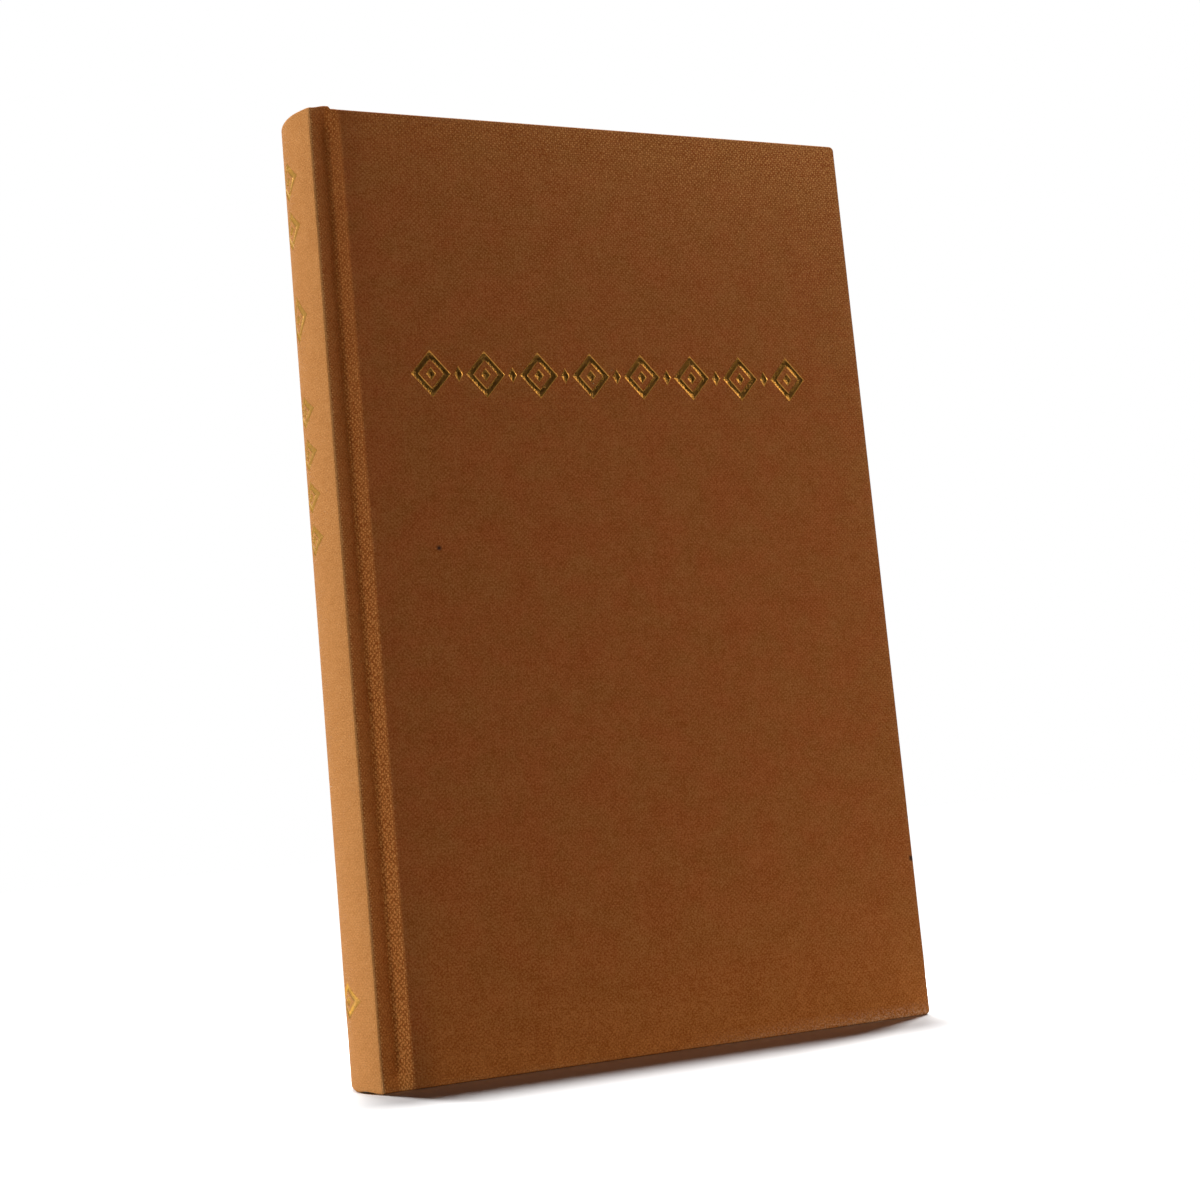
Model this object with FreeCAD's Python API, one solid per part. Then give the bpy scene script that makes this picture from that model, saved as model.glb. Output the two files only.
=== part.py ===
import FreeCAD, Part
import math
import os

# A cloth-bound, case-bound notebook, closed and standing on its tail. All sizes are in millimetres.
#
# Frame: +Z up along the spine, +X from the spine to the fore-edge, the front cover faces -Y. The
# origin is the middle of the footprint, at the tail.
#
# Build: two boards and a rounded spine inlay are wrapped in one sheet of book cloth, turned in at
# the head, tail and fore-edges. The text block hangs in that case by its mull and its two endpapers.
# Each cover turns about the edge where the text block's spine meets its side, so the cloth, mull
# and endpaper that cross that joint are strips of their own, which flex.
#
# Sections are drawn in (x, w): w is the distance from the middle plane of the book, towards the
# front on the FRONT side and towards the back on the BACK side.

FRONT = -1.0
BACK = 1.0

# --- boards and cloth -------------------------------------------------------------------------
board_width = 125.1           # from the groove to the fore-edge
board_height = 209.2
board_thickness = 2.3
board_corner_radius = 0.7     # the boards' fore-edge corners, worn just round
cloth_thickness = 0.4
cloth_edge_radius = 0.35      # how tightly the cloth goes over the edge of a board
turn_in_width = 15.0          # cloth folded in over the inner face of a board
mitre_gap = 0.15              # between two turn-ins where they meet at a corner
joint_lap = 2.0               # flat of the cover that the joint strip of the cloth takes in

# --- spine and French groove ------------------------------------------------------------------
spine_rise = 3.0              # how far the round of the spine stands out past its corners
shoulder_width = 6.5          # from a spine corner across the groove to the flat of the cover
groove_offset = 2.1           # from the flat of the cover to the bottom of the groove
groove_radius = 1.0           # round of the pressed groove, on the outside of the cloth
inlay_thickness = 0.8
head_cap_rise = 0.7           # how far the spine stands up past the boards at the head

# --- text block and its linings ---------------------------------------------------------------
page_block_thickness = 12.8
endpaper_thickness = 0.15
square = 3.4                  # how far the covers reach past the leaves
mull_thickness = 0.15
mull_flange_width = 24.0      # mull glued to the inner face of each board
mull_end_gap = 0.5            # between the mull and the turned-in cloth
lining_thickness = 0.2
lining_end_gap = 1.0          # from the end of the text block to the lining
band_radius = 0.9             # bead of the head and tail bands
band_seat = 0.15              # how far the bead is pressed flat on the leaves
band_tongue = 10.0            # length of the band's tongue, glued down the spine

# --- foil ornament ----------------------------------------------------------------------------
foil_depth = 0.2              # how deep the stamp is pressed into the cloth
foil_thickness = 0.05
foil_stroke = 1.3             # width of a lozenge's outline
front_chain_count = 8
front_chain_margin_spine = 12.0
front_chain_margin_fore = 15.5
front_chain_drop = 59.2       # from the head to the middle of the chain
front_chain_height = 10.5
front_chain_gap = 3.6         # between two lozenges, where a small one stands
small_lozenge_width = 2.0
small_lozenge_height = 3.6
dot_width = 2.2               # solid lozenge in the middle of an outline
dot_height = 3.0
spine_chain_width = 9.6       # across the spine
spine_chain_gap = 2.4
spine_chains = [(10.0, 20.0, 2), (40.5, 10.5, 1), (63.0, 35.0, 4)]  # drop from the head, length, count
tail_mark_rise = 15.0         # from the tail to the foot of the mark
tail_mark_height = 7.4
tail_mark_width = 11.4

# --- layers of one half of the book, from the middle plane outwards ------------------------------
level_page = page_block_thickness / 2
level_flyleaf = level_page + endpaper_thickness
level_pastedown = level_flyleaf + endpaper_thickness
level_board_in = level_pastedown + cloth_thickness
level_board_out = level_board_in + board_thickness
level_face = level_board_out + cloth_thickness

# --- round of the spine: one arc through both corners and the crown -----------------------------
spine_radius = (spine_rise ** 2 + level_face ** 2) / (2 * spine_rise)
inlay_radius_out = spine_radius - cloth_thickness
inlay_radius_in = inlay_radius_out - inlay_thickness
lining_radius_out = inlay_radius_in - cloth_thickness
mull_radius_out = lining_radius_out - lining_thickness
block_radius = mull_radius_out - mull_thickness

# --- heights --------------------------------------------------------------------------------
cover_height = board_height + 2 * cloth_thickness
spine_height = cover_height + head_cap_rise
page_bottom = square
page_top = cover_height - square
mull_bottom = turn_in_width + mull_end_gap
mull_top = cover_height - turn_in_width - mull_end_gap

BIG = 1000.0                  # larger than the book, for cutting shapes
TOUCH = 0.001                 # two places this near are the same one, for picking edges
CLEAR = 2.0                   # how far a cutting shape reaches past the spine corner
SETTLING_ROUNDS = 20          # rounds in which the climb and its set-back find each other


def unit(dx, dw):
    """The direction (dx, dw), one long."""
    length = math.hypot(dx, dw)
    return dx / length, dw / length


def tangent_below(x, w, centre, radius):
    """Direction of the line from (x, w) that touches a circle on its lower side."""
    dx = centre[0] - x
    dw = centre[1] - w
    turn = math.asin(radius / math.hypot(dx, dw))
    angle = math.atan2(dw, dx)
    angle += -turn if dx > 0 else turn
    return math.cos(angle), math.sin(angle)


def crossing(p, u, q, v):
    """Where the line through p along u meets the line through q along v."""
    det = u[1] * v[0] - u[0] * v[1]
    t = ((q[1] - p[1]) * v[0] - (q[0] - p[0]) * v[1]) / det
    return p[0] + t * u[0], p[1] + t * u[1]


# --- the cloth's climb from the groove to the board ----------------------------------------------
groove_w = level_board_in + cloth_thickness + groove_radius  # centre of the groove's round


def climb_to_board():
    """Direction of the climb, seen from the board's corner, and how far that corner is set back.

    The cloth's inner side passes over the corner of the board, so the flat of the cover ends a
    little nearer the groove than the board does. The set-back bends the climb and the climb sets
    the set-back, so the two are found in turn until they settle.
    """
    inner_radius = groove_radius + cloth_thickness
    setback = 0.0
    for _ in range(SETTLING_ROUNDS):
        slope = tangent_below(
            groove_offset + setback, level_board_out, (0.0, groove_w), inner_radius
        )
        half_turn = math.atan2(-slope[1], -slope[0]) / 2
        setback = cloth_thickness * math.tan(half_turn)
    return slope, setback


climb, corner_setback = climb_to_board()

# --- places along X: the crown of the spine and the fore-edge lie equally far from the origin -----
overall_width = (
    spine_rise + shoulder_width + corner_setback + board_width + cloth_thickness
)
x_crown = -overall_width / 2
x_corner = x_crown + spine_rise
x_flat = x_corner + shoulder_width
x_board = x_flat + corner_setback
x_groove = x_flat - groove_offset
x_board_fore = x_board + board_width
x_cover_fore = x_board_fore + cloth_thickness
x_split = x_board + joint_lap
x_page_fore = x_cover_fore - square
x_round = x_crown + spine_radius
x_hinge = x_round - math.sqrt(block_radius ** 2 - level_page ** 2)
groove_centre = (x_groove, groove_w)
descent = tangent_below(x_corner, level_face, groove_centre, groove_radius)


def vector(x, w, side, z=0.0):
    return FreeCAD.Vector(x, side * w, z)


def line(a, b, side):
    return Part.LineSegment(vector(a[0], a[1], side), vector(b[0], b[1], side)).toShape()


def arc(centre, radius, a, b, side):
    """Arc of a circle from a to b, by the shorter way."""
    mid = unit((a[0] + b[0]) / 2 - centre[0], (a[1] + b[1]) / 2 - centre[1])
    top = (centre[0] + radius * mid[0], centre[1] + radius * mid[1])
    return Part.Arc(
        vector(a[0], a[1], side), vector(top[0], top[1], side), vector(b[0], b[1], side)
    ).toShape()


def upright(face, z_low, z_high):
    """A flat face at z = 0, raised into a solid between two heights."""
    face.translate(FreeCAD.Vector(0, 0, z_low))
    return face.extrude(FreeCAD.Vector(0, 0, z_high - z_low))


def polygon(points, side):
    """A flat face with straight edges."""
    corners = [vector(x, w, side) for x, w in points]
    return Part.Face(Part.makePolygon(corners + corners[:1]))


def slab(x_low, x_high, w_low, w_high, side, z_low, z_high):
    """A box whose thickness is given in w."""
    y_low = min(side * w_low, side * w_high)
    corner = FreeCAD.Vector(x_low, y_low, z_low)
    return Part.makeBox(x_high - x_low, w_high - w_low, z_high - z_low, corner)


def one_solid(shape):
    """The shape as a single solid, without the seams that joining leaves."""
    clean = shape.removeSplitter()
    if len(clean.Solids) != 1:
        raise ValueError("expected one solid, got %d" % len(clean.Solids))
    return clean.Solids[0]


def tube(radius_out, radius_in, z_low, z_high):
    """A round wall about the centre of the spine's arc."""
    axis = FreeCAD.Vector(x_round, 0, z_low)
    outer = Part.makeCylinder(radius_out, z_high - z_low, axis)
    return outer.cut(Part.makeCylinder(radius_in, z_high - z_low, axis))


# --- the sheet of cloth across a joint ----------------------------------------------------------
def shoulder_points(inset):
    """Where the shoulder's slope and the climb to the board touch the groove, inset in the cloth."""
    radius = groove_radius + inset
    foot = (
        groove_centre[0] + radius * descent[1],
        groove_centre[1] - radius * descent[0],
    )
    rise = (
        groove_centre[0] - radius * climb[1],
        groove_centre[1] + radius * climb[0],
    )
    return foot, rise


def up_the_shoulder(inset):
    """Where the inset shoulder, followed up from the groove, meets the inset round of the spine."""
    foot, _ = shoulder_points(inset)
    out = (foot[0] - x_round, foot[1])
    middle = out[0] * descent[0] + out[1] * descent[1]
    spare = out[0] ** 2 + out[1] ** 2 - (spine_radius - inset) ** 2
    travel = middle + math.sqrt(middle ** 2 - spare)
    return foot[0] - travel * descent[0], foot[1] - travel * descent[1]


# The cloth is mitred at the spine corner, from its outer corner to its inner one.
spine_corner = (x_corner, level_face)
inner_corner = up_the_shoulder(cloth_thickness)
mitre_direction = unit(inner_corner[0] - spine_corner[0], inner_corner[1] - spine_corner[1])


def shoulder_top(inset):
    """Where the inset shoulder meets the mitre at the spine corner."""
    foot, _ = shoulder_points(inset)
    return crossing(foot, descent, spine_corner, mitre_direction)


def spine_zone(z_low, z_high):
    """Everything on the spine's side of the two mitres."""
    near = (
        spine_corner[0] - CLEAR * mitre_direction[0],
        spine_corner[1] - CLEAR * mitre_direction[1],
    )
    deep = crossing(spine_corner, mitre_direction, (0.0, level_flyleaf), (1.0, 0.0))
    points = [near, deep, (deep[0], -deep[1]), (near[0], -near[1])]
    points += [(x_crown - spine_rise, -near[1]), (x_crown - spine_rise, near[1])]
    return upright(polygon(points, BACK), z_low, z_high)


def spine_shell(radius_out, radius_in, z_low, z_high):
    """A layer of the rounded spine between its two corners."""
    return tube(radius_out, radius_in, z_low, z_high).common(spine_zone(z_low, z_high))


def sheet_over_joint(side):
    """Section of the cloth from the spine corner through the groove to the flat of the cover."""
    foot, rise = shoulder_points(0.0)
    foot_in, rise_in = shoulder_points(cloth_thickness)
    flat = (x_flat, level_face)
    board_corner = (x_board, level_board_out)
    edges = [
        line(spine_corner, foot, side),
        arc(groove_centre, groove_radius, foot, rise, side),
        line(rise, flat, side),
        line(flat, (x_split, level_face), side),
        line((x_split, level_face), (x_split, level_board_out), side),
        line((x_split, level_board_out), board_corner, side),
        line(board_corner, rise_in, side),
        arc(groove_centre, groove_radius + cloth_thickness, rise_in, foot_in, side),
        line(foot_in, shoulder_top(cloth_thickness), side),
        line(shoulder_top(cloth_thickness), spine_corner, side),
    ]
    return Part.Face(Part.Wire(edges))


def turn_in_over_joint(side):
    """Section of the turned-in cloth behind that sheet, down the shoulder and under the board."""
    outer = groove_radius + cloth_thickness
    inner = outer + cloth_thickness
    foot_out, _ = shoulder_points(cloth_thickness)
    foot_in, _ = shoulder_points(2 * cloth_thickness)
    low_out = (x_groove, groove_w - outer)
    low_in = (x_groove, groove_w - inner)
    end_out = (x_split, low_out[1])
    end_in = (x_split, low_in[1])
    edges = [
        line(shoulder_top(cloth_thickness), foot_out, side),
        arc(groove_centre, outer, foot_out, low_out, side),
        line(low_out, end_out, side),
        line(end_out, end_in, side),
        line(end_in, low_in, side),
        arc(groove_centre, inner, low_in, foot_in, side),
        line(foot_in, shoulder_top(2 * cloth_thickness), side),
        line(shoulder_top(2 * cloth_thickness), shoulder_top(cloth_thickness), side),
    ]
    return Part.Face(Part.Wire(edges))


def joint_cloth(side):
    """The strip of cloth that flexes in the joint, turned in at the head and the tail."""
    strip = upright(sheet_over_joint(side), 0.0, cover_height)
    tail = upright(turn_in_over_joint(side), 0.0, turn_in_width)
    head = upright(turn_in_over_joint(side), cover_height - turn_in_width, cover_height)
    return one_solid(strip.fuse([tail, head]))


# --- the spine ----------------------------------------------------------------------------------
def spine_inlay():
    return one_solid(
        spine_shell(
            inlay_radius_out, inlay_radius_in, cloth_thickness, spine_height - cloth_thickness
        )
    )


def spine_cloth(stamps):
    """Cloth over the inlay, folded over its ends and turned in behind it, with the stamped places."""
    sheet = spine_shell(spine_radius, inlay_radius_out, 0.0, spine_height)
    ends = []
    for low in (0.0, spine_height - cloth_thickness):
        ends.append(spine_shell(spine_radius, lining_radius_out, low, low + cloth_thickness))
    for low in (0.0, spine_height - turn_in_width):
        ends.append(spine_shell(inlay_radius_in, lining_radius_out, low, low + turn_in_width))
    cloth = one_solid(sheet.fuse(ends))
    folded = [
        edge
        for edge in cloth.Edges
        if edge.Curve.TypeId == "Part::GeomCircle"
        and abs(edge.Curve.Radius - spine_radius) < TOUCH
        and min(edge.BoundBox.ZMin, spine_height - edge.BoundBox.ZMax) < TOUCH
    ]
    cloth = cloth.makeFillet(cloth_edge_radius, folded)
    return one_solid(cloth.cut(stamps))


# --- the covers ---------------------------------------------------------------------------------
def board(side):
    shape = slab(
        x_board, x_board_fore, level_board_in, level_board_out, side,
        cloth_thickness, cloth_thickness + board_height,
    )
    return shape.makeFillet(board_corner_radius, fore_corners(shape, x_board_fore))


def fore_corners(shape, x_fore):
    """The short edges through the thickness at the two fore-edge corners."""
    found = []
    for edge in shape.Edges:
        box = edge.BoundBox
        if box.XMin > x_fore - TOUCH and box.YLength > TOUCH and box.ZLength < TOUCH:
            found.append(edge)
    return found


def cover_cloth(side, stamps):
    """Cloth on the outer face of a board, wrapped round three edges and turned in."""
    wrap = slab(
        x_split, x_cover_fore, level_pastedown, level_face, side, 0.0, cover_height
    )
    wrap = wrap.makeFillet(
        board_corner_radius + cloth_thickness, fore_corners(wrap, x_cover_fore)
    )
    outer_face = [
        edge
        for edge in wrap.Edges
        if abs(side * edge.BoundBox.YMin - level_face) < TOUCH
        and edge.BoundBox.YLength < TOUCH
        and edge.BoundBox.XMax > x_split + TOUCH
    ]
    wrap = wrap.makeFillet(cloth_edge_radius, outer_face)
    opening = slab(
        x_split - joint_lap, x_cover_fore - turn_in_width,
        level_pastedown, level_board_in, side,
        turn_in_width, cover_height - turn_in_width,
    )
    cloth = wrap.cut(board(side)).cut([opening, turn_in_mitre(side, 1), turn_in_mitre(side, -1)])
    if stamps is not None:
        cloth = cloth.cut(stamps)
    return one_solid(cloth)


def turn_in_mitre(side, up):
    """The gap between two turn-ins at a fore-edge corner, at the head (up = 1) or the tail."""
    x_in = x_cover_fore - turn_in_width
    z_edge = cover_height if up > 0 else 0.0
    reach = turn_in_width - board_corner_radius - 2 * cloth_thickness
    half = mitre_gap / math.sqrt(2.0)
    z_in = z_edge - up * turn_in_width
    outline = [
        (x_in - half, z_in - up * 2 * half),
        (x_in + reach, z_in + up * (reach - half)),
        (x_in + reach, z_in + up * (reach + half)),
        (x_in - half, z_in),
    ]
    y_low = min(side * level_pastedown, side * level_board_in)
    corners = [FreeCAD.Vector(x, y_low, z) for x, z in outline]
    face = Part.Face(Part.makePolygon(corners + corners[:1]))
    return face.extrude(FreeCAD.Vector(0, cloth_thickness, 0))


def endpaper_sheet(side):
    """The half of an endpaper that is pasted down, with the part that crosses the joint.

    It lies on the turned-in cloth round its border, steps down to the board inside the turn-ins,
    and steps over the mull along the joint.
    """
    x_middle = x_cover_fore - turn_in_width
    z_low = turn_in_width
    z_high = cover_height - turn_in_width
    x_mull = x_board + mull_flange_width
    paper = slab(
        x_hinge, x_page_fore, level_flyleaf, level_board_in, side, page_bottom, page_top
    )
    over_turn_ins = [
        slab(x_middle, BIG, level_pastedown, level_board_in, side, page_bottom, page_top),
        slab(x_hinge, BIG, level_pastedown, level_board_in, side, page_bottom, z_low),
        slab(x_hinge, BIG, level_pastedown, level_board_in, side, z_high, page_top),
    ]
    under_mull = slab(
        x_hinge, x_mull, level_board_in - mull_thickness, level_board_in, side,
        mull_bottom, mull_top,
    )
    hollow_over_mull = slab(
        x_hinge + endpaper_thickness, x_middle - endpaper_thickness,
        level_flyleaf, level_board_in - mull_thickness - endpaper_thickness, side,
        z_low + endpaper_thickness, z_high - endpaper_thickness,
    )
    hollow_on_board = slab(
        x_mull + endpaper_thickness, x_middle - endpaper_thickness,
        level_flyleaf, level_board_in - endpaper_thickness, side,
        z_low + endpaper_thickness, z_high - endpaper_thickness,
    )
    return paper.cut(over_turn_ins + [under_mull, hollow_over_mull, hollow_on_board])


def fore_part(shape, x):
    """The part of a shape on the fore-edge's side of x."""
    return shape.common(Part.makeBox(BIG, 2 * BIG, 2 * BIG, FreeCAD.Vector(x, -BIG, -BIG)))


def flyleaf(side):
    return slab(x_hinge, x_page_fore, level_page, level_flyleaf, side, page_bottom, page_top)


# --- the mull -----------------------------------------------------------------------------------
def mull_strip(side):
    """Mull from the spine round the edge of the text block and over the joint."""
    leg = slab(
        x_hinge - mull_thickness, x_hinge, level_page, level_board_in, side, mull_bottom, mull_top
    )
    strip = slab(
        x_hinge, x_board, level_board_in - mull_thickness, level_board_in, side,
        mull_bottom, mull_top,
    )
    return one_solid(leg.fuse(strip))


def mull_flange(side):
    return slab(
        x_board, x_board + mull_flange_width,
        level_board_in - mull_thickness, level_board_in, side,
        mull_bottom, mull_top,
    )


# --- the text block -----------------------------------------------------------------------------
def text_block():
    """All the leaves as one solid: rounded at the spine, hollow by as much at the fore-edge."""
    leaf_width = x_page_fore - x_hinge
    spine_edge = [(x_hinge, level_page), (x_hinge, -level_page)]
    fore_edge = [(x_page_fore, -level_page), (x_page_fore, level_page)]
    fore_centre = (x_round + leaf_width, 0.0)
    edges = [
        arc((x_round, 0.0), block_radius, spine_edge[0], spine_edge[1], BACK),
        line(spine_edge[1], fore_edge[0], BACK),
        arc(fore_centre, block_radius, fore_edge[0], fore_edge[1], BACK),
        line(fore_edge[1], spine_edge[0], BACK),
    ]
    return upright(Part.Face(Part.Wire(edges)), page_bottom, page_top)


def between_sides(shape):
    """What lies between the two sides of the text block, on the spine's side of the arc's centre."""
    box = Part.makeBox(
        x_round - 2 * x_crown, page_block_thickness, 2 * spine_height,
        FreeCAD.Vector(2 * x_crown, -level_page, -spine_height / 2),
    )
    return shape.common(box)


def spine_lining():
    return one_solid(
        between_sides(
            tube(
                lining_radius_out, mull_radius_out,
                page_bottom + lining_end_gap, page_top - lining_end_gap,
            )
        )
    )


def spine_mull():
    return one_solid(
        between_sides(tube(mull_radius_out, block_radius, mull_bottom, mull_top))
    )


def end_band(up):
    """Head band (up = 1) or tail band (up = -1): a bead on the leaves and a tongue down the spine."""
    seat = page_top if up > 0 else page_bottom
    bead_z = seat + up * (band_radius - band_seat)
    ring = Part.makeTorus(
        mull_radius_out - band_radius, band_radius, FreeCAD.Vector(x_round, 0, bead_z)
    )
    tongue_low = min(seat - up * band_tongue, bead_z)
    tongue_high = max(seat - up * band_tongue, bead_z)
    tongue = tube(mull_radius_out, block_radius, tongue_low, tongue_high)
    leaves = upright(
        polygon([(-BIG, -BIG), (BIG, -BIG), (BIG, BIG), (-BIG, BIG)], BACK),
        min(seat, seat - up * BIG), max(seat, seat - up * BIG),
    )
    bead = between_sides(ring.cut(leaves))
    return one_solid(between_sides(tongue).fuse(bead))


# --- foil ornament ------------------------------------------------------------------------------
def lozenge(across, along, width, height):
    """The four corners of an upright lozenge, centred at (across, along)."""
    return [
        (across - width / 2, along),
        (across, along - height / 2),
        (across + width / 2, along),
        (across, along + height / 2),
    ]


def lozenge_prism(corners, place, push):
    """A lozenge as a prism. place turns (across, along) into a point, push is its sweep."""
    points = [place(a, b) for a, b in corners]
    return Part.Face(Part.makePolygon(points + points[:1])).extrude(push)


def outline_prism(across, along, width, height, place, push):
    """A lozenge's outline, foil_stroke wide, as a prism."""
    narrow = foil_stroke * math.hypot(width, height)
    outer = lozenge_prism(lozenge(across, along, width, height), place, push)
    inner = lozenge_prism(
        lozenge(across, along, width - 2 * narrow / height, height - 2 * narrow / width),
        place, push,
    )
    return outer.cut(inner)


def front_stamps():
    """Prisms through the front cover's outer face, one for each mark of the chain."""
    start = x_flat + front_chain_margin_spine
    end = x_cover_fore - front_chain_margin_fore
    pitch = (end - start + front_chain_gap) / front_chain_count
    width = pitch - front_chain_gap
    middle = cover_height - front_chain_drop
    y = FRONT * (level_face - foil_depth)
    push = FreeCAD.Vector(0, FRONT * 2 * foil_depth, 0)

    def place(across, along):
        return FreeCAD.Vector(across, y, along)

    prisms = []
    for index in range(front_chain_count):
        centre = start + width / 2 + index * pitch
        prisms.append(outline_prism(centre, middle, width, front_chain_height, place, push))
        dot = lozenge(centre, middle, dot_width, dot_height)
        prisms.append(lozenge_prism(dot, place, push))
        if index:
            link = lozenge(centre - pitch / 2, middle, small_lozenge_width, small_lozenge_height)
            prisms.append(lozenge_prism(link, place, push))
    return prisms


def spine_stamps():
    """Prisms along X through the spine's cloth, one for each mark."""
    push = FreeCAD.Vector(-2 * spine_rise, 0, 0)

    def place(across, along):
        return FreeCAD.Vector(x_corner, across, along)

    prisms = []
    for drop, length, count in spine_chains:
        pitch = (length + spine_chain_gap) / count
        height = pitch - spine_chain_gap
        for index in range(count):
            middle = spine_height - drop - height / 2 - index * pitch
            prisms.append(outline_prism(0.0, middle, spine_chain_width, height, place, push))
            dot = lozenge(0.0, middle, dot_height, dot_width)
            prisms.append(lozenge_prism(dot, place, push))
    middle = tail_mark_rise + tail_mark_height / 2
    prisms.append(
        outline_prism(0.0, middle, tail_mark_width, tail_mark_height, place, push)
    )
    dot = lozenge(0.0, middle, dot_height, dot_width)
    prisms.append(lozenge_prism(dot, place, push))
    return prisms


def front_foil():
    """Foil on the floor of each stamped place of the front cover."""
    floor = level_face - foil_depth
    layer = slab(
        x_split, x_cover_fore, floor, floor + foil_thickness, FRONT, 0.0, cover_height
    )
    return Part.makeCompound([prism.common(layer) for prism in front_stamps()])


def spine_pockets():
    """The stamped places of the spine, cut to their depth."""
    layer = tube(spine_radius + spine_rise, spine_radius - foil_depth, 0.0, spine_height)
    return [prism.common(layer) for prism in spine_stamps()]


def spine_foil():
    """Foil on the floor of each stamped place of the spine."""
    floor = spine_radius - foil_depth
    layer = tube(floor + foil_thickness, floor, 0.0, spine_height)
    return Part.makeCompound([prism.common(layer) for prism in spine_stamps()])


def write_nodes():
    os.makedirs("parts", exist_ok=True)
    nodes = {
        "text_block": text_block(),
        "spine_mull": spine_mull(),
        "spine_lining": spine_lining(),
        "head_band": end_band(1),
        "tail_band": end_band(-1),
        "spine_inlay": spine_inlay(),
        "spine_cloth": spine_cloth(spine_pockets()),
        "spine_foil": spine_foil(),
        "front_cover_foil": front_foil(),
    }
    for name, side, stamps in (("front", FRONT, front_stamps()), ("back", BACK, None)):
        endpaper = endpaper_sheet(side)
        nodes[name + "_board"] = board(side)
        nodes[name + "_cover_cloth"] = cover_cloth(side, stamps)
        nodes[name + "_pastedown"] = one_solid(fore_part(endpaper, x_board))
        nodes[name + "_mull_flange"] = mull_flange(side)
        nodes[name + "_flyleaf"] = flyleaf(side)
        nodes[name + "_joint_cloth"] = joint_cloth(side)
        nodes[name + "_joint_paper"] = one_solid(endpaper.cut(fore_part(endpaper, x_board)))
        nodes[name + "_joint_mull"] = mull_strip(side)
    for name, shape in nodes.items():
        if not shape.isValid():
            raise ValueError(name + " is not a valid shape")
        shape.exportStep("parts/" + name + ".step")
        print("%-20s %d solid(s) %10.2f mm3" % (name, len(shape.Solids), shape.Volume))
    print("hinge axis at x = %.4f, w = %.4f" % (x_hinge, level_flyleaf))
    print("overall %.3f x %.3f x %.3f" % (overall_width, 2 * level_face, spine_height))


write_nodes()
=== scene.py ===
"""Looks of the cloth-bound notebook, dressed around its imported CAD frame.

The book stands closed on its tail: +Z is up, +X runs from the spine to the fore-edge and the front
cover faces -Y. Sections are drawn in (x, w), where w is the distance from the middle plane of the
book, towards the front (side FRONT) or the back (side BACK). The cloth is first laid out flat, in
its developed length from mid-spine and its height z. Lengths are in millimetres and become metres
in make_object(). The camera, the lamps and what goes with them are in metres.
"""
import math

import bmesh
import bpy
import numpy as np
from mathutils import Euler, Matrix, Vector, geometry, noise


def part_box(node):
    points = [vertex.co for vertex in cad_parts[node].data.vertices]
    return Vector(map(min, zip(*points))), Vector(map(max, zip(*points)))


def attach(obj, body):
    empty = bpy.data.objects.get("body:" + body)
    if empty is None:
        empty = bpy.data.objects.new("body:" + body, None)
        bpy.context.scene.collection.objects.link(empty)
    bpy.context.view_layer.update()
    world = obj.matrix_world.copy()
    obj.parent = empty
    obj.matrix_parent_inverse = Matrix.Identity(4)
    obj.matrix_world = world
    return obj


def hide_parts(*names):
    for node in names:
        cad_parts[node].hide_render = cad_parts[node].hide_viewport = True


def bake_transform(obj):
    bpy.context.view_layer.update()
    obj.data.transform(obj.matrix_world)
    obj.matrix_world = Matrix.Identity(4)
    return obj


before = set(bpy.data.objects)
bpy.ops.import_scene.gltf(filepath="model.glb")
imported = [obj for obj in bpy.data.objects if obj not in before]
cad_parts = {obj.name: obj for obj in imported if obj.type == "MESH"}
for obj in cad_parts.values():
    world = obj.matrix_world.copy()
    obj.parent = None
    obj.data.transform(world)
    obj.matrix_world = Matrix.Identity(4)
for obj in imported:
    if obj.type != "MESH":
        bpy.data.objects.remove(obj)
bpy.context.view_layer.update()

MM = 0.001
FRONT = -1.0
BACK = 1.0

# --- sizes that the looks share with the CAD model, in millimetres ---
CLOTH = 0.4                   # thickness of the book cloth
PAPER = 0.15                  # thickness of an endpaper
MULL = 0.15
TURN_IN = 15.0                # cloth folded over the inner face of a board
SPINE_RISE = 3.0              # how far the round of the spine stands out past its corners
SHOULDER = 6.5                # from a spine corner across the groove to the flat of the cover
GROOVE_OFFSET = 2.4           # from the flat of the cover to the bottom of the groove; CAD has 2.1
GROOVE_RADIUS = 1.0
INLAY = 0.8
BOARD_CORNER = 0.7            # radius of a board's fore-edge corners
MULL_FLANGE = 24.0
BAND_RADIUS = 0.9
BAND_SEAT = 0.15
BAND_TONGUE = 10.0
STAMP_DEPTH = 0.2
STAMP_STROKE = 1.3            # width of a lozenge's outline
DOT = (2.2, 3.0)              # the short and the long way across a solid lozenge
FRONT_COUNT = 8
FRONT_GAP = 3.6
FRONT_LINK = (2.0, 3.6)       # width and height of the small lozenge between two outlines
SPINE_WIDTH = 9.6
SPINE_GAP = 2.4
SPINE_CHAINS = [(10.0, 20.0, 2), (40.5, 10.5, 1), (63.0, 35.0, 4)]  # from the head, length, count
TAIL_MARK = (11.4, 7.4)       # width and height
TAIL_MARK_RISE = 15.0


def box_mm(node):
    """Lowest and highest corner of a CAD node in millimetres."""
    low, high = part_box(node)
    return np.array(low) / MM, np.array(high) / MM


spine_low, spine_high = box_mm("spine_cloth")
joint_low, _ = box_mm("front_joint_cloth")
cover_low, cover_high = box_mm("front_cover_cloth")
board_low, _ = box_mm("front_board")
block_low, block_high = box_mm("text_block")
leaf_low, leaf_high = box_mm("front_flyleaf")

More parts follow.
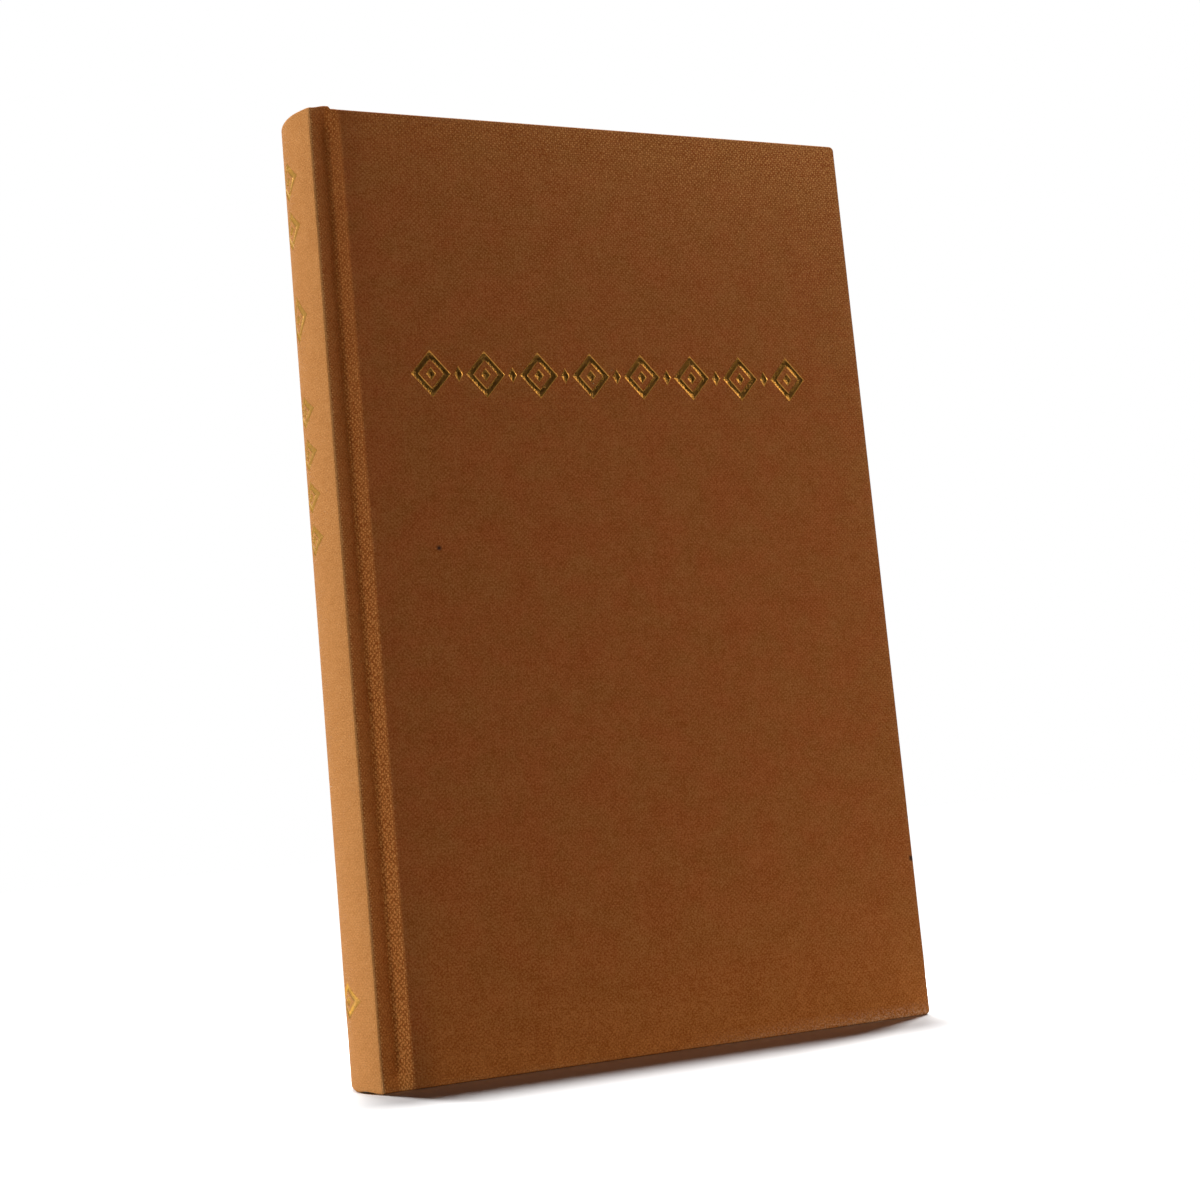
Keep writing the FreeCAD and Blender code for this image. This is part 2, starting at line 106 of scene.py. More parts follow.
FACE = -cover_low[1]                      # outer face of the cloth, from the middle plane
INNER_FACE = -cover_high[1]               # inner face of the turned-in cloth
BOARD_IN = INNER_FACE + CLOTH
PAGE_LEVEL = block_high[1]
FLYLEAF_LEVEL = -leaf_low[1]
HEIGHT = cover_high[2]
SPINE_HEIGHT = spine_high[2]
X_CORNER = joint_low[0]                   # the spine corner
X_FLAT = X_CORNER + SHOULDER              # where the flat of the cover starts
X_GROOVE = X_FLAT - GROOVE_OFFSET
X_BOARD = board_low[0]
X_FORE = cover_high[0]
X_HINGE = leaf_low[0]
X_PAGE = leaf_high[0]
SPINE_RADIUS = (SPINE_RISE ** 2 + FACE ** 2) / (2 * SPINE_RISE)
X_ROUND = spine_low[0] + SPINE_RADIUS     # centre of the spine's arc
BLOCK_RADIUS = math.hypot(X_ROUND - X_HINGE, PAGE_LEVEL)

# --- looks that only the render has ---
SECTION_STEP = 0.05           # between two points of the case's section
CORNER_SOFTNESS = 0.38        # how widely the cloth rounds its folds
GROOVE_END_DEPTH = 0.30       # share of the groove's depth that is left at the head and the tail
GROOVE_EASE = 6.0             # length over which the groove runs out there
HEAD_BULGE = 0.85             # how far the turned-in cloth stands up over the groove at the head
HEAD_CROWN = 0.15             # how far the middle of the spine's head does
BULGE_REACH = 9.0             # height over which both rise
TAIL_LIFT = 0.35              # how far the spine's tail edge lifts, between crown and corners
LIFT_REACH = 4.0
RIM = BOARD_CORNER + CLOTH    # the outline's corner radius, and the width of the swept rim
OUTER_ROUND = 0.42            # radius of the cloth where it turns from a face to the rim
INNER_ROUND = 0.33            # and from the rim to the inner face
MITRE_GAP = 0.06              # a corner's cut edges keep this far from its diagonal
STAMP_EDGE = 0.11             # half the width of a stamp's sloping wall
STAMP_CLEAR = 0.18            # the sheet's own points keep this far from a stamp's wall
STAMP_LEAST = 0.15            # a wall's outline that is smaller than this is left out
FOIL = 0.03
SEAM_W = 8.2                  # where the spine's strip of cloth hands over to a cover's sheet
SHARP_ANGLE = 55.0            # an edge that turns by more than this is shaded sharp
LEAF = 0.1                    # thickness of a leaf
SIGNATURE = 16                # leaves in a sewn section
BAND_THREAD = 0.5             # one winding of thread on a band to the next
WEAVE_PITCH = 0.52            # one thread of the cloth to the next
GAUZE_PITCH = 1.1             # one thread of the mull to the next
STAINS = [(-43.0, 112.2, 0.65), (X_FORE - 0.5, 36.0, 0.8)]  # x, z, radius of dark specks in front


def smooth(t):
    """0 below 0, 1 above 1, and a smooth step between."""
    t = np.clip(t, 0.0, 1.0)
    return t * t * (3 - 2 * t)


def ripple(a, b, scale_a, scale_b, seed):
    """Smooth noise about 0 for arrays of places (a, b)."""
    places = zip(np.ravel(a) / scale_a, np.ravel(b) / scale_b)
    values = [noise.noise(Vector((p, q, seed))) for p, q in places]
    return np.array(values).reshape(np.shape(a))


# --- section of the case: outer and inner skin of the cloth, from mid-spine to the fore-edge ---
def tangent_below(point, centre, radius):
    """Direction of the line from point that touches a circle on its lower side."""
    gap = np.subtract(centre, point)
    lean = math.asin(radius / np.linalg.norm(gap))
    angle = math.atan2(gap[1], gap[0]) + (-lean if gap[0] > 0 else lean)
    return np.array([math.cos(angle), math.sin(angle)])


def run(a, b, step):
    """Points from a to b, b left out, about step apart."""
    count = max(2, int(round(np.linalg.norm(np.subtract(b, a)) / step)))
    t = np.arange(count)[:, None] / count
    return np.array(a) + t * (np.array(b) - np.array(a))


def on_circle(centre, radius, angles):
    across = centre[0] + radius * np.cos(angles)
    return np.column_stack([across, centre[1] + radius * np.sin(angles)])


def turn(centre, radius, start, end, count):
    """Points on an arc between two angles, the last left out."""
    return on_circle(centre, radius, start + (end - start) * np.arange(count) / count)


def resample(new, old, points):
    """A row of points given at old, read at new."""
    return np.column_stack([np.interp(new, old, points[:, k]) for k in (0, 1)])


def case_section():
    """Dense outer and inner skins with as many points each, and the outer length at each point."""
    spine_centre = (X_ROUND, 0.0)
    groove_centre = (X_GROOVE, BOARD_IN + CLOTH + GROOVE_RADIUS)
    corner, flat, fore = ((x, FACE) for x in (X_CORNER, X_FLAT, X_FORE))
    down = tangent_below(corner, groove_centre, GROOVE_RADIUS)
    up = tangent_below(flat, groove_centre, GROOVE_RADIUS)
    start, end = math.atan2(-down[0], down[1]), math.atan2(up[0], -up[1])
    half = math.asin(FACE / SPINE_RADIUS)
    spine_count, groove_count = int(SPINE_RADIUS * half / SECTION_STEP), 40
    foot, rise = on_circle(groove_centre, GROOVE_RADIUS, np.array([start, end]))
    outer = [
        turn(spine_centre, SPINE_RADIUS, math.pi, math.pi - half, spine_count),
        run(corner, foot, SECTION_STEP),
        turn(groove_centre, GROOVE_RADIUS, start, end, groove_count),
        run(rise, flat, SECTION_STEP),
        run(flat, fore, SECTION_STEP),
    ]
    spine_in = SPINE_RADIUS - 2 * CLOTH - INLAY
    groove_in = GROOVE_RADIUS + 2 * CLOTH
    half_in = half - 0.02     # the inner arc ends a little before the corner
    corner_in = (X_ROUND - spine_in * math.cos(half_in), spine_in * math.sin(half_in))
    foot_in = on_circle(groove_centre, groove_in, np.array([start]))[0]
    low, board, fore_in = ((x, INNER_FACE) for x in (X_GROOVE, X_BOARD, X_FORE))
    inner = [
        turn(spine_centre, spine_in, math.pi, math.pi - half_in, spine_count),
        run(corner_in, foot_in, SECTION_STEP),
        turn(groove_centre, groove_in, start, -math.pi / 2, groove_count),
        run(low, board, SECTION_STEP),
        run(board, fore_in, SECTION_STEP),
    ]
    matched = []
    for out_part, in_part in zip(outer, inner):
        old, new = (np.linspace(0, 1, len(part)) for part in (in_part, out_part))
        matched.append(resample(new, old, in_part))
    outer = np.vstack(outer + [[fore]])
    inner = np.vstack(matched + [[fore_in]])
    length = np.concatenate([[0.0], np.cumsum(np.linalg.norm(np.diff(outer, axis=0), axis=1))])
    even = np.arange(0.0, length[-1], SECTION_STEP)
    return soften(resample(even, length, outer)), soften(resample(even, length, inner)), even


def soften(points):
    """The section with its corners rounded, mirrored at mid-spine and left alone at its end."""
    reach = int(4 * CORNER_SOFTNESS / SECTION_STEP)
    offsets = np.arange(-reach, reach + 1) * SECTION_STEP
    kernel = np.exp(-0.5 * (offsets / CORNER_SOFTNESS) ** 2)
    kernel /= kernel.sum()
    before = points[1:reach + 1][::-1] * np.array([1.0, -1.0])
    slope = points[-1] - points[-2]
    after = points[-1] + np.arange(1, reach + 1)[:, None] * slope
    padded = np.vstack([before, points, after])
    return np.column_stack([np.convolve(padded[:, k], kernel, "valid") for k in (0, 1)])


OUTER, INNER, LENGTH = case_section()


def length_at(x):
    """Outer length from mid-spine at which the flat part of the case reaches x."""
    start = np.searchsorted(OUTER[:, 0], X_FLAT)
    return float(np.interp(x, OUTER[start:, 0], LENGTH[start:]))


L_CORNER = SPINE_RADIUS * math.asin(FACE / SPINE_RADIUS)
L_SEAM = SPINE_RADIUS * math.asin(SEAM_W / SPINE_RADIUS)
IN_JOINT = (OUTER[:, 0] > X_CORNER) & (OUTER[:, 0] < X_FLAT) & (LENGTH > L_SEAM)
L_GROOVE = float(LENGTH[np.argmin(np.where(IN_JOINT, OUTER[:, 1], FACE))])
L_FLAT = length_at(X_FLAT + 0.5) - 0.5
L_RIM = length_at(X_FORE - RIM)


def relief(z):
    """Share of the groove's depth that there is at height z: it runs out at head and tail."""
    ends = smooth(z / GROOVE_EASE) * smooth((HEIGHT - z) / GROOVE_EASE)
    return GROOVE_END_DEPTH + (1 - GROOVE_END_DEPTH) * ends


def end_shift(length, z):
    """How far the cloth's end stands up (head) or lifts (tail) over its nominal height."""
    spine = np.clip(length / L_CORNER, 0, 1)
    broad = smooth((L_FLAT + 0.3 - length) / 2.0)
    steep = smooth((L_GROOVE + 1.5 - length) / 0.9)
    bulge = HEAD_BULGE * smooth((length - L_CORNER) / (L_GROOVE - L_CORNER + 0.3))
    bulge = bulge * (0.22 * broad + 0.78 * steep)
    bulge = bulge + HEAD_CROWN * (1 - smooth((spine - 0.3) / 0.6)) * (length < L_CORNER)
    lift = TAIL_LIFT * np.sin(math.pi * spine) ** 2
    head = smooth((z - HEIGHT + BULGE_REACH) / BULGE_REACH)
    return bulge * head + lift * smooth((LIFT_REACH - z) / LIFT_REACH)


def skin(length, z, which):
    """(x, w) of the outer or inner skin at developed length and height z."""
    x = np.interp(length, LENGTH, which[:, 0])
    w = np.interp(length, LENGTH, which[:, 1])
    depth = FACE - np.interp(length, LENGTH, OUTER[:, 1])
    shallow = (1 - relief(z)) * depth * (length > L_CORNER)
    waves = 0.05 * ripple(length, z, 26.0, 38.0, 3.7) + 0.02 * ripple(length, z, 6.0, 9.0, 8.1)
    return np.column_stack([x, w + shallow + waves * smooth((length - L_FLAT) / 6.0)])


# --- stamped lozenges ---
def lozenge_distance(across, along, mark):
    """Distance outside the edge of a lozenge, and less than 0 inside it."""
    a, b = mark["half"]
    da = np.abs(across - mark["centre"][0])
    db = np.abs(along - mark["centre"][1])
    return (da * b + db * a - a * b) / math.hypot(a, b)


def stamp(centre, width, height, stroke=None):
    return {"centre": centre, "half": (width / 2, height / 2), "stroke": stroke}


def front_stamps():
    """The chain on the front cover, in (x, z)."""
    low, high = box_mm("front_cover_foil")
    pitch = (high[0] - low[0] + FRONT_GAP) / FRONT_COUNT
    width = pitch - FRONT_GAP
    middle = (low[2] + high[2]) / 2
    marks = []
    for index in range(FRONT_COUNT):
        x = low[0] + width / 2 + index * pitch
        marks.append(stamp((x, middle), width, high[2] - low[2], STAMP_STROKE))
        marks.append(stamp((x, middle), *DOT))
        if index:
            marks.append(stamp((x - pitch / 2, middle), *FRONT_LINK))
    return marks


def spine_stamps():
    """The chains and the tail mark on the spine, in (w, z)."""
    outlines = []
    for drop, length, count in SPINE_CHAINS:
        pitch = (length + SPINE_GAP) / count
        height = pitch - SPINE_GAP
        for index in range(count):
            z = SPINE_HEIGHT - drop - height / 2 - index * pitch
            outlines.append((z, SPINE_WIDTH, height))
    outlines.append((TAIL_MARK_RISE + TAIL_MARK[1] / 2, *TAIL_MARK))
    marks = []
    for z, width, height in outlines:
        marks.append(stamp((0.0, z), width, height, STAMP_STROKE))
        marks.append(stamp((0.0, z), DOT[1], DOT[0]))
    return marks


def stamp_share(across, along, marks):
    """How deep each place is pressed, from 0 to 1."""
    share = np.zeros(np.shape(across))
    for mark in marks:
        distance = lozenge_distance(across, along, mark)
        pressed = smooth((STAMP_EDGE - distance) / (2 * STAMP_EDGE))
        if mark["stroke"]:
            pressed = pressed * smooth((distance + mark["stroke"] + STAMP_EDGE) / (2 * STAMP_EDGE))
        share = np.maximum(share, pressed)
    return share


def stamp_loops(marks, spacing):
    """Closed rows of points along the walls of every stamp."""
    loops = []
    for mark in marks:
        a, b = mark["half"]
        slant = math.hypot(a, b)
        offsets = [k * STAMP_EDGE for k in (1.0, 0.33, -0.33, -1.0)]
        if mark["stroke"]:
            offsets += [offset - mark["stroke"] for offset in offsets]
        for offset in offsets:
            wide = a + offset * slant / b
            high = b + offset * slant / a
            if min(wide, high) < STAMP_LEAST:
                continue
            tips = [(wide, 0.0), (0.0, high), (-wide, 0.0), (0.0, -high)]
            sides = [run(start, end, spacing) for start, end in zip(tips, tips[1:] + tips[:1])]
            loops.append(np.vstack(sides) + np.array(mark["centre"]))
    return loops


# --- meshes ---
def flipped(faces):
    return [face[::-1] for face in faces]


def make_object(name, points, faces, uv=None, attributes=None, weld=False):
    """A smooth-shaded object from points in millimetres. uv and attributes go with the points.

    weld joins points that fall together, and drops the faces that have no area then.
    """
    mesh = bpy.data.meshes.new(name)
    mesh.from_pydata((np.asarray(points) * MM).tolist(), [], [list(map(int, f)) for f in faces])
    mesh.validate()
    mesh.update()
    if uv is not None:
        corner_vertex = np.zeros(len(mesh.loops), np.int32)
        mesh.loops.foreach_get("vertex_index", corner_vertex)
        layer = mesh.uv_layers.new(name="cloth")
        layer.data.foreach_set("uv", np.asarray(uv, np.float32)[corner_vertex].ravel())
    for key, values in (attributes or {}).items():
        attribute = mesh.attributes.new(key, "FLOAT", "POINT")
        attribute.data.foreach_set("value", np.asarray(values, np.float32))
    if weld:
        net = bmesh.new()
        net.from_mesh(mesh)
        bmesh.ops.remove_doubles(net, verts=net.verts, dist=1e-7)
        net.to_mesh(mesh)
        net.free()
    mesh.polygons.foreach_set("use_smooth", np.ones(len(mesh.polygons), bool))
    mesh.set_sharp_from_angle(angle=math.radians(SHARP_ANGLE))
    return link_object(name, mesh)


def link_object(name, data):
    obj = bpy.data.objects.new(name, data)
    bpy.context.scene.collection.objects.link(obj)
    return obj


def flat_net(columns, rows, loops):
    """Triangles over a lattice of columns and rows, with the loops as edges in it."""
    lattice = np.array([(c, r) for r in rows for c in columns])
    if loops:
        walls = np.vstack(loops)
        near = np.zeros(len(lattice), bool)
        batch = 2000
        for start in range(0, len(lattice), batch):
            part = lattice[start:start + batch]
            gap = np.linalg.norm(part[:, None] - walls[None], axis=2).min(1)
            near[start:start + batch] = gap < STAMP_CLEAR
        on_border = (
            (lattice[:, 0] == columns[0]) | (lattice[:, 0] == columns[-1])
            | (lattice[:, 1] == rows[0]) | (lattice[:, 1] == rows[-1])
        )
        lattice = lattice[~near | on_border]
    edges = []
    count = len(lattice)
    for loop in loops:
        ids = np.arange(count, count + len(loop))
        edges += list(zip(ids.tolist(), np.roll(ids, -1).tolist()))
        count += len(loop)
    points = [Vector(p) for p in np.vstack([lattice, *loops])]
    net = geometry.delaunay_2d_cdt(points, edges, [], 0, 1e-5)
    return np.array([tuple(v) for v in net[0]]), [tuple(f) for f in net[2]]


def row_ids(places, axis, value, order_axis):
    """Ids of the points on one border of a net, in order along the other axis."""
    ids = np.flatnonzero(np.abs(places[:, axis] - value) < 1e-4)
    return ids[np.argsort(places[ids, order_axis])]


def spaced(*stops):
    """Values through (start, step), (next, step), ..., (end,): each stretch divided evenly."""
    values = []
    for (start, step), following in zip(stops, stops[1:]):
        count = max(1, int(round((following[0] - start) / step)))
        values += [start + (following[0] - start) * k / count for k in range(count)]
    return values + [stops[-1][0]]


# --- the cloth ---
def cloth_point(length, z, depth):
    """Place (x, w, z) of the sheet at a developed length and height, at a depth in the cloth."""
    outer = skin(length, z, OUTER)
    through = skin(length, z, INNER) - outer
    share = depth / np.linalg.norm(through, axis=1)
    place = outer + through * share[:, None]
    return np.column_stack([place, z + end_shift(length, z)])


def on_side(places, signs, side):
    """(x, y, z) of places (x, w, z) on one side of the book; signs of -1 put them on the other."""
    return np.column_stack([places[:, 0], side * signs * places[:, 1], places[:, 2]])


def fold_rings(thickness, outer_round, inner_round, reach):
    """The way over an edge, ring by ring: how far out of the rim's base, and how deep."""
    quarter = [k * math.pi / 8 for k in range(5)]
    rings = [
        (RIM - outer_round * (1 - math.sin(angle)), outer_round * (1 - math.cos(angle)))
        for angle in quarter[:-1]
    ]
    rings.append((RIM, outer_round))
    for angle in quarter:
        rings.append((
            RIM - inner_round * (1 - math.cos(angle)),
            thickness - inner_round * (1 - math.sin(angle)),
        ))
    for share in (0.12, 0.3, 0.6, 1.0):
        rings.append((RIM - inner_round - share * (reach - inner_round), thickness))
    rings.append((RIM - reach, thickness - CLOTH))
    return rings


class Sheet:
    """A growing mesh of cloth: places (x, w, z), developed coordinates and faces."""

    def __init__(self, columns, rows, loops, depth_at):
        self.flat, self.faces = flat_net(columns, rows, loops)
        depth = depth_at(self.flat[:, 0], self.flat[:, 1])
        self.places = [cloth_point(np.abs(self.flat[:, 0]), self.flat[:, 1], depth)]
        self.sides = [np.where(self.flat[:, 0] >= 0, 1.0, -1.0)]
        self.uv = [self.flat]
        self.count = len(self.flat)

    def add_rim(self, base, out_length, out_z, reach, outer_round):
        """Fold the border over. base is in order with the sheet on its left."""
        length = np.abs(self.flat[base, 0])
        sign = self.sides[0][base]
        z = self.flat[base, 1]
        thickness = np.linalg.norm(skin(length, z, INNER) - skin(length, z, OUTER), axis=1)
        inner_round = np.minimum(INNER_ROUND, thickness - outer_round - 0.02)
        outwards = np.column_stack([sign * out_length, out_z])
        last_out, last_depth, way = np.zeros((3, len(base)))
        last_ids = base
        for out, depth in fold_rings(thickness, outer_round, inner_round, reach):
            self.places.append(cloth_point(length + out_length * out, z + out_z * out, depth))
            self.sides.append(sign)
            way = way + np.hypot(out - last_out, depth - last_depth)
            last_out, last_depth = out, depth
            self.uv.append(self.flat[base] + outwards * way[:, None])
            ids = np.arange(self.count, self.count + len(base))
            self.count += len(base)
            for k in range(len(base) - 1):
                quad = [last_ids[k], ids[k], ids[k + 1], last_ids[k + 1]]
                self.faces.append(quad[1:] if quad[0] == quad[3] else quad)
            last_ids = ids

    def build(self, name, side):
        """The object. side is that of length >= 0; the other half is its mirror image."""
        points = on_side(np.vstack(self.places), np.concatenate(self.sides), side)
        faces = self.faces if side == FRONT else flipped(self.faces)
        uv = np.vstack(self.uv) * (1.0 if side == FRONT else -1.0, 1.0)
        return make_object(name, points, faces, uv, tone(uv), weld=True)


def fading(distance, reach):
    """1 at distance 0 and before it, and less beyond, over a few times reach."""
    return np.exp(-np.maximum(distance, 0) / reach)


def tone(uv):
    """Where light is painted into the cloth, where the cloth is stretched and where it is rubbed,
    from 0 to 1.

    Each place has its width in millimetres and its strength as the photograph shows them.
    """
    length, height = np.abs(uv[:, 0]), uv[:, 1]
    l_fore = length_at(X_FORE)
    past = length - L_CORNER
    cover = smooth((length - L_FLAT) / 8.0)
    foot, top = fading(height, 20.0), fading(HEIGHT - height, 22.0)
    fore = fading(l_fore - length, 12.0)
    low = smooth(1.1 - height / 190.0)
    shoulder = smooth((past - 0.1) / 1.0) * (1 - smooth((length - L_GROOVE) / 0.8))
    slope = smooth((length - L_GROOVE + 0.5) / 0.9) * (1 - smooth((length - L_FLAT + 0.9) / 1.9))
    corner = np.exp(-((past - 0.25) / 0.5) ** 2)

    # Painted light: the cover lighter towards its top, more so further from the spine, and along
    # its fore-edge.
    painted_top_fore_light = (0.04 + 0.52 * np.clip(length / l_fore, 0, 1)) * top + 0.06 * fore
    # Painted highlight on the lit round of the spine, a lighter fringe just past its corner and the
    # groove's lit slope, brighter lower down; on the cover, the painted light above.
    painted_light = 1 - smooth((past + 0.35) / 1.6) + 0.32 * fading(past, 1.0) * (past > 0)
    painted_light = painted_light + (0.18 + 0.44 * low + 0.22 * foot) * slope + painted_top_fore_light * cover

    # Stretch of the cloth over the shoulder and the groove's slope, and painted light: a lighter
    # shoulder and slope, more so lower down, and lighter cloth along the cover's foot and top.
    stretch_and_painted_light = (0.30 + 0.10 * top + 0.24 * low * low + 0.50 * foot) * shoulder
    stretch_and_painted_light = stretch_and_painted_light + (0.62 + 0.38 * low) * slope + (0.90 * foot + 0.26 * top) * cover

    borders = [HEIGHT - height, height, l_fore - length]
    rim = sum(np.exp(-((border - 0.2) / 0.9) ** 2) for border in borders)
    heel = smooth((5.0 - height) / 5.0) * corner
    patches = 0.5 + 0.9 * ripple(length, height, 7.0, 3.0, 5.5)
    worn = 0.30 * (corner + rim) * patches + 0.8 * heel
    shares = {"painted_light": painted_light, "stretch_and_painted_light": stretch_and_painted_light, "worn": worn}
    return {name: np.clip(share, 0, 1) for name, share in shares.items()}


def spine_depth(across, z):
    return STAMP_DEPTH * stamp_share(SPINE_RADIUS * np.sin(across / SPINE_RADIUS), z, SPINE_MARKS)


def front_depth(length, z):
    return STAMP_DEPTH * stamp_share(np.interp(length, LENGTH, OUTER[:, 0]), z, FRONT_MARKS)


def no_depth(length, z):
    return np.zeros(np.shape(length))


def spine_loops():
    """The spine's stamps, laid out along its arc."""
    loops = []
    for loop in stamp_loops(SPINE_MARKS, 0.5):
        across = SPINE_RADIUS * np.arcsin(loop[:, 0] / SPINE_RADIUS)
        loops.append(np.column_stack([across, loop[:, 1]]))
    return loops


def front_loops():
    """The front cover's stamps, laid out along the sheet."""
    loops = stamp_loops(FRONT_MARKS, 1.2)
    return [np.column_stack([L_FLAT + loop[:, 0] - X_FLAT, loop[:, 1]]) for loop in loops]


def spine_sheet():
    """The strip of cloth over the spine, which stays with the text block."""
    columns = spaced((-L_SEAM, 0.45), (L_SEAM,))
    rows = spaced((RIM, 0.8), (8.0, 2.2), (HEIGHT - 10.0, 0.8), (HEIGHT - RIM,))
    sheet = Sheet(columns, rows, spine_loops(), spine_depth)
    for up, border, rounder in ((-1, rows[0], 0.55), (1, rows[-1], 0.1)):
        base = row_ids(sheet.flat, 1, border, 0)[::-up]    # with the sheet on its left
        nearness = smooth(1 - np.abs(sheet.flat[base, 0]) / L_CORNER)
        nothing = np.zeros(len(base))
        outer_round = OUTER_ROUND + rounder * nearness
        sheet.add_rim(base, nothing, nothing + up, nothing + TURN_IN, outer_round)
    return sheet


def cover_sheet(loops, depth_at):
    """The cloth from the spine's seam over the groove and the board, folded in on three sides."""
    columns = spaced(
        (L_SEAM, 0.3), (L_CORNER - 0.9, 0.1), (L_CORNER + 0.9, 0.25), (L_GROOVE - 1.0, 0.12),
        (L_GROOVE + 1.0, 0.2), (L_FLAT - 0.8, 0.1), (L_FLAT + 0.9, 2.4), (L_RIM - 3.0, 0.8),
        (L_RIM,),
    )
    rows = spaced((RIM, 0.6), (8.0, 2.4), (HEIGHT - 8.0, 0.6), (HEIGHT - RIM,))
    sheet = Sheet(columns, rows, loops, depth_at)
    tail = row_ids(sheet.flat, 1, rows[0], 0)
    fore = row_ids(sheet.flat, 0, columns[-1], 1)
    head = row_ids(sheet.flat, 1, rows[-1], 0)[::-1]
    fan = 5                   # more steps of the sweep round each fore-edge corner
    base = np.concatenate([tail, np.repeat(tail[-1], fan), fore, np.repeat(head[0], fan), head])
    quarter = np.linspace(-math.pi / 2, 0, fan + 2)[1:-1]
    angles = np.concatenate([
        np.full(len(tail), -math.pi / 2), quarter, np.zeros(len(fore)),
        quarter + math.pi / 2, np.full(len(head), math.pi / 2),
    ])
    length, z = sheet.flat[base].T
    from_fore = X_FORE - X_FLAT + L_FLAT - length
    from_ends = np.minimum(z, HEIGHT - z)
    at_fore = slice(len(tail) + fan, len(tail) + fan + len(fore))
    along = np.concatenate([
        from_fore[:len(tail)], np.full(fan, RIM), from_ends[at_fore], np.full(fan, RIM),
        from_fore[-len(head):],
    ])
    reach = np.clip(along - MITRE_GAP, RIM, TURN_IN)
    sheet.add_rim(base, np.cos(angles), np.sin(angles), reach, np.full(len(base), OUTER_ROUND))
    return sheet


def foil_from(sheet, name, side, depth_at):
    """Foil in the stamps of a sheet: its pressed faces again, a hair higher, closed underneath."""
    flat = sheet.flat
    triangles = np.array([face for face in sheet.faces if max(face) < len(flat)])
    middle = flat[triangles].mean(1)
    triangles = triangles[depth_at(middle[:, 0], middle[:, 1]) > 0.25 * STAMP_DEPTH]
    used = np.unique(triangles)
    order = {int(old): new for new, old in enumerate(used)}
    faces = [[order[int(v)] for v in face] for face in triangles]
    across, z = flat[used].T
    depth = depth_at(across, z)
    layers = [cloth_point(np.abs(across), z, depth + offset) for offset in (-FOIL, FOIL)]
    signs = np.where(across >= 0, 1.0, -1.0)
    points = on_side(np.vstack(layers), np.concatenate([signs, signs]), side)
    count = len(used)
    edges = {(a, b): None for face in faces for a, b in zip(face, face[1:] + face[:1])}
    walls = [[b, a, a + count, b + count] for a, b in edges if (b, a) not in edges]
    closed = faces + [[v + count for v in face[::-1]] for face in faces] + walls
    return make_object(name, points, closed, np.vstack([flat[used], flat[used]]))


# --- paper, bands and spine inlay ---
def pastedown(name, side):
    """The pasted-down half of an endpaper with its fold, telegraphing the turn-ins and the mull."""
    x_inner = X_FORE - TURN_IN
    x_mull = X_BOARD + MULL_FLANGE
    z_low, z_high = TURN_IN, HEIGHT - TURN_IN
    columns = spaced(
        (X_HINGE, 0.2), (X_FLAT + 0.5, 1.2), (x_mull - 1.0, 0.25), (x_mull + 1.0, 4.0),
        (x_inner - 1.2, 0.2), (x_inner + 1.2, 3.0), (X_PAGE,),
    )
    rows = spaced(
        (block_low[2], 3.0), (z_low - 1.2, 0.2), (z_low + 1.2, 4.0),
        (z_high - 1.2, 0.2), (z_high + 1.2, 3.0), (block_high[2],),
    )
    x, z = (grid.ravel() for grid in np.meshgrid(columns, rows))
    soft = 0.7                # width of a step in the paper
    inside = smooth((x_inner - x) / soft) * smooth((z - z_low) / soft) * smooth((z_high - z) / soft)
    over_mull = inside * smooth((x_mull - x) / soft + 0.5)
    folded = smooth((x - X_HINGE) / 1.6)
    drop = (CLOTH * inside - MULL * over_mull) * folded
    wave = 0.03 * ripple(x, z, 14.0, 17.0, 1.3) * inside * folded
    hair = 0.005              # off the faces that it lies between
    surface = FLYLEAF_LEVEL + hair + drop + wave
    levels = (surface, surface + PAPER - 2 * hair)
    points = np.vstack([np.column_stack([x, side * level, z]) for level in levels])
    size = (len(columns), len(rows))
    faces = grid_faces(*size, 0) + flipped(grid_faces(*size, len(x))) + grid_border(*size, len(x))
    if side == FRONT:
        faces = flipped(faces)
    return make_object(name, points, faces, np.vstack([np.column_stack([x, z])] * 2))


def grid_faces(width, height, first):
    """Quads over a grid of points, row after row."""
    corners = [first + r * width + c for r in range(height - 1) for c in range(width - 1)]
    return [[a, a + 1, a + 1 + width, a + width] for a in corners]


def grid_border(width, height, offset):
    """Quads round a grid's border, between it and its copy, offset further on in the points."""
    ring = list(range(width))
    ring += [r * width + width - 1 for r in range(1, height)]
    ring += [(height - 1) * width + c for c in range(width - 2, -1, -1)]
    ring += [r * width for r in range(height - 2, 0, -1)]
    return [[b, a, a + offset, b + offset] for a, b in zip(ring, ring[1:] + ring[:1])]


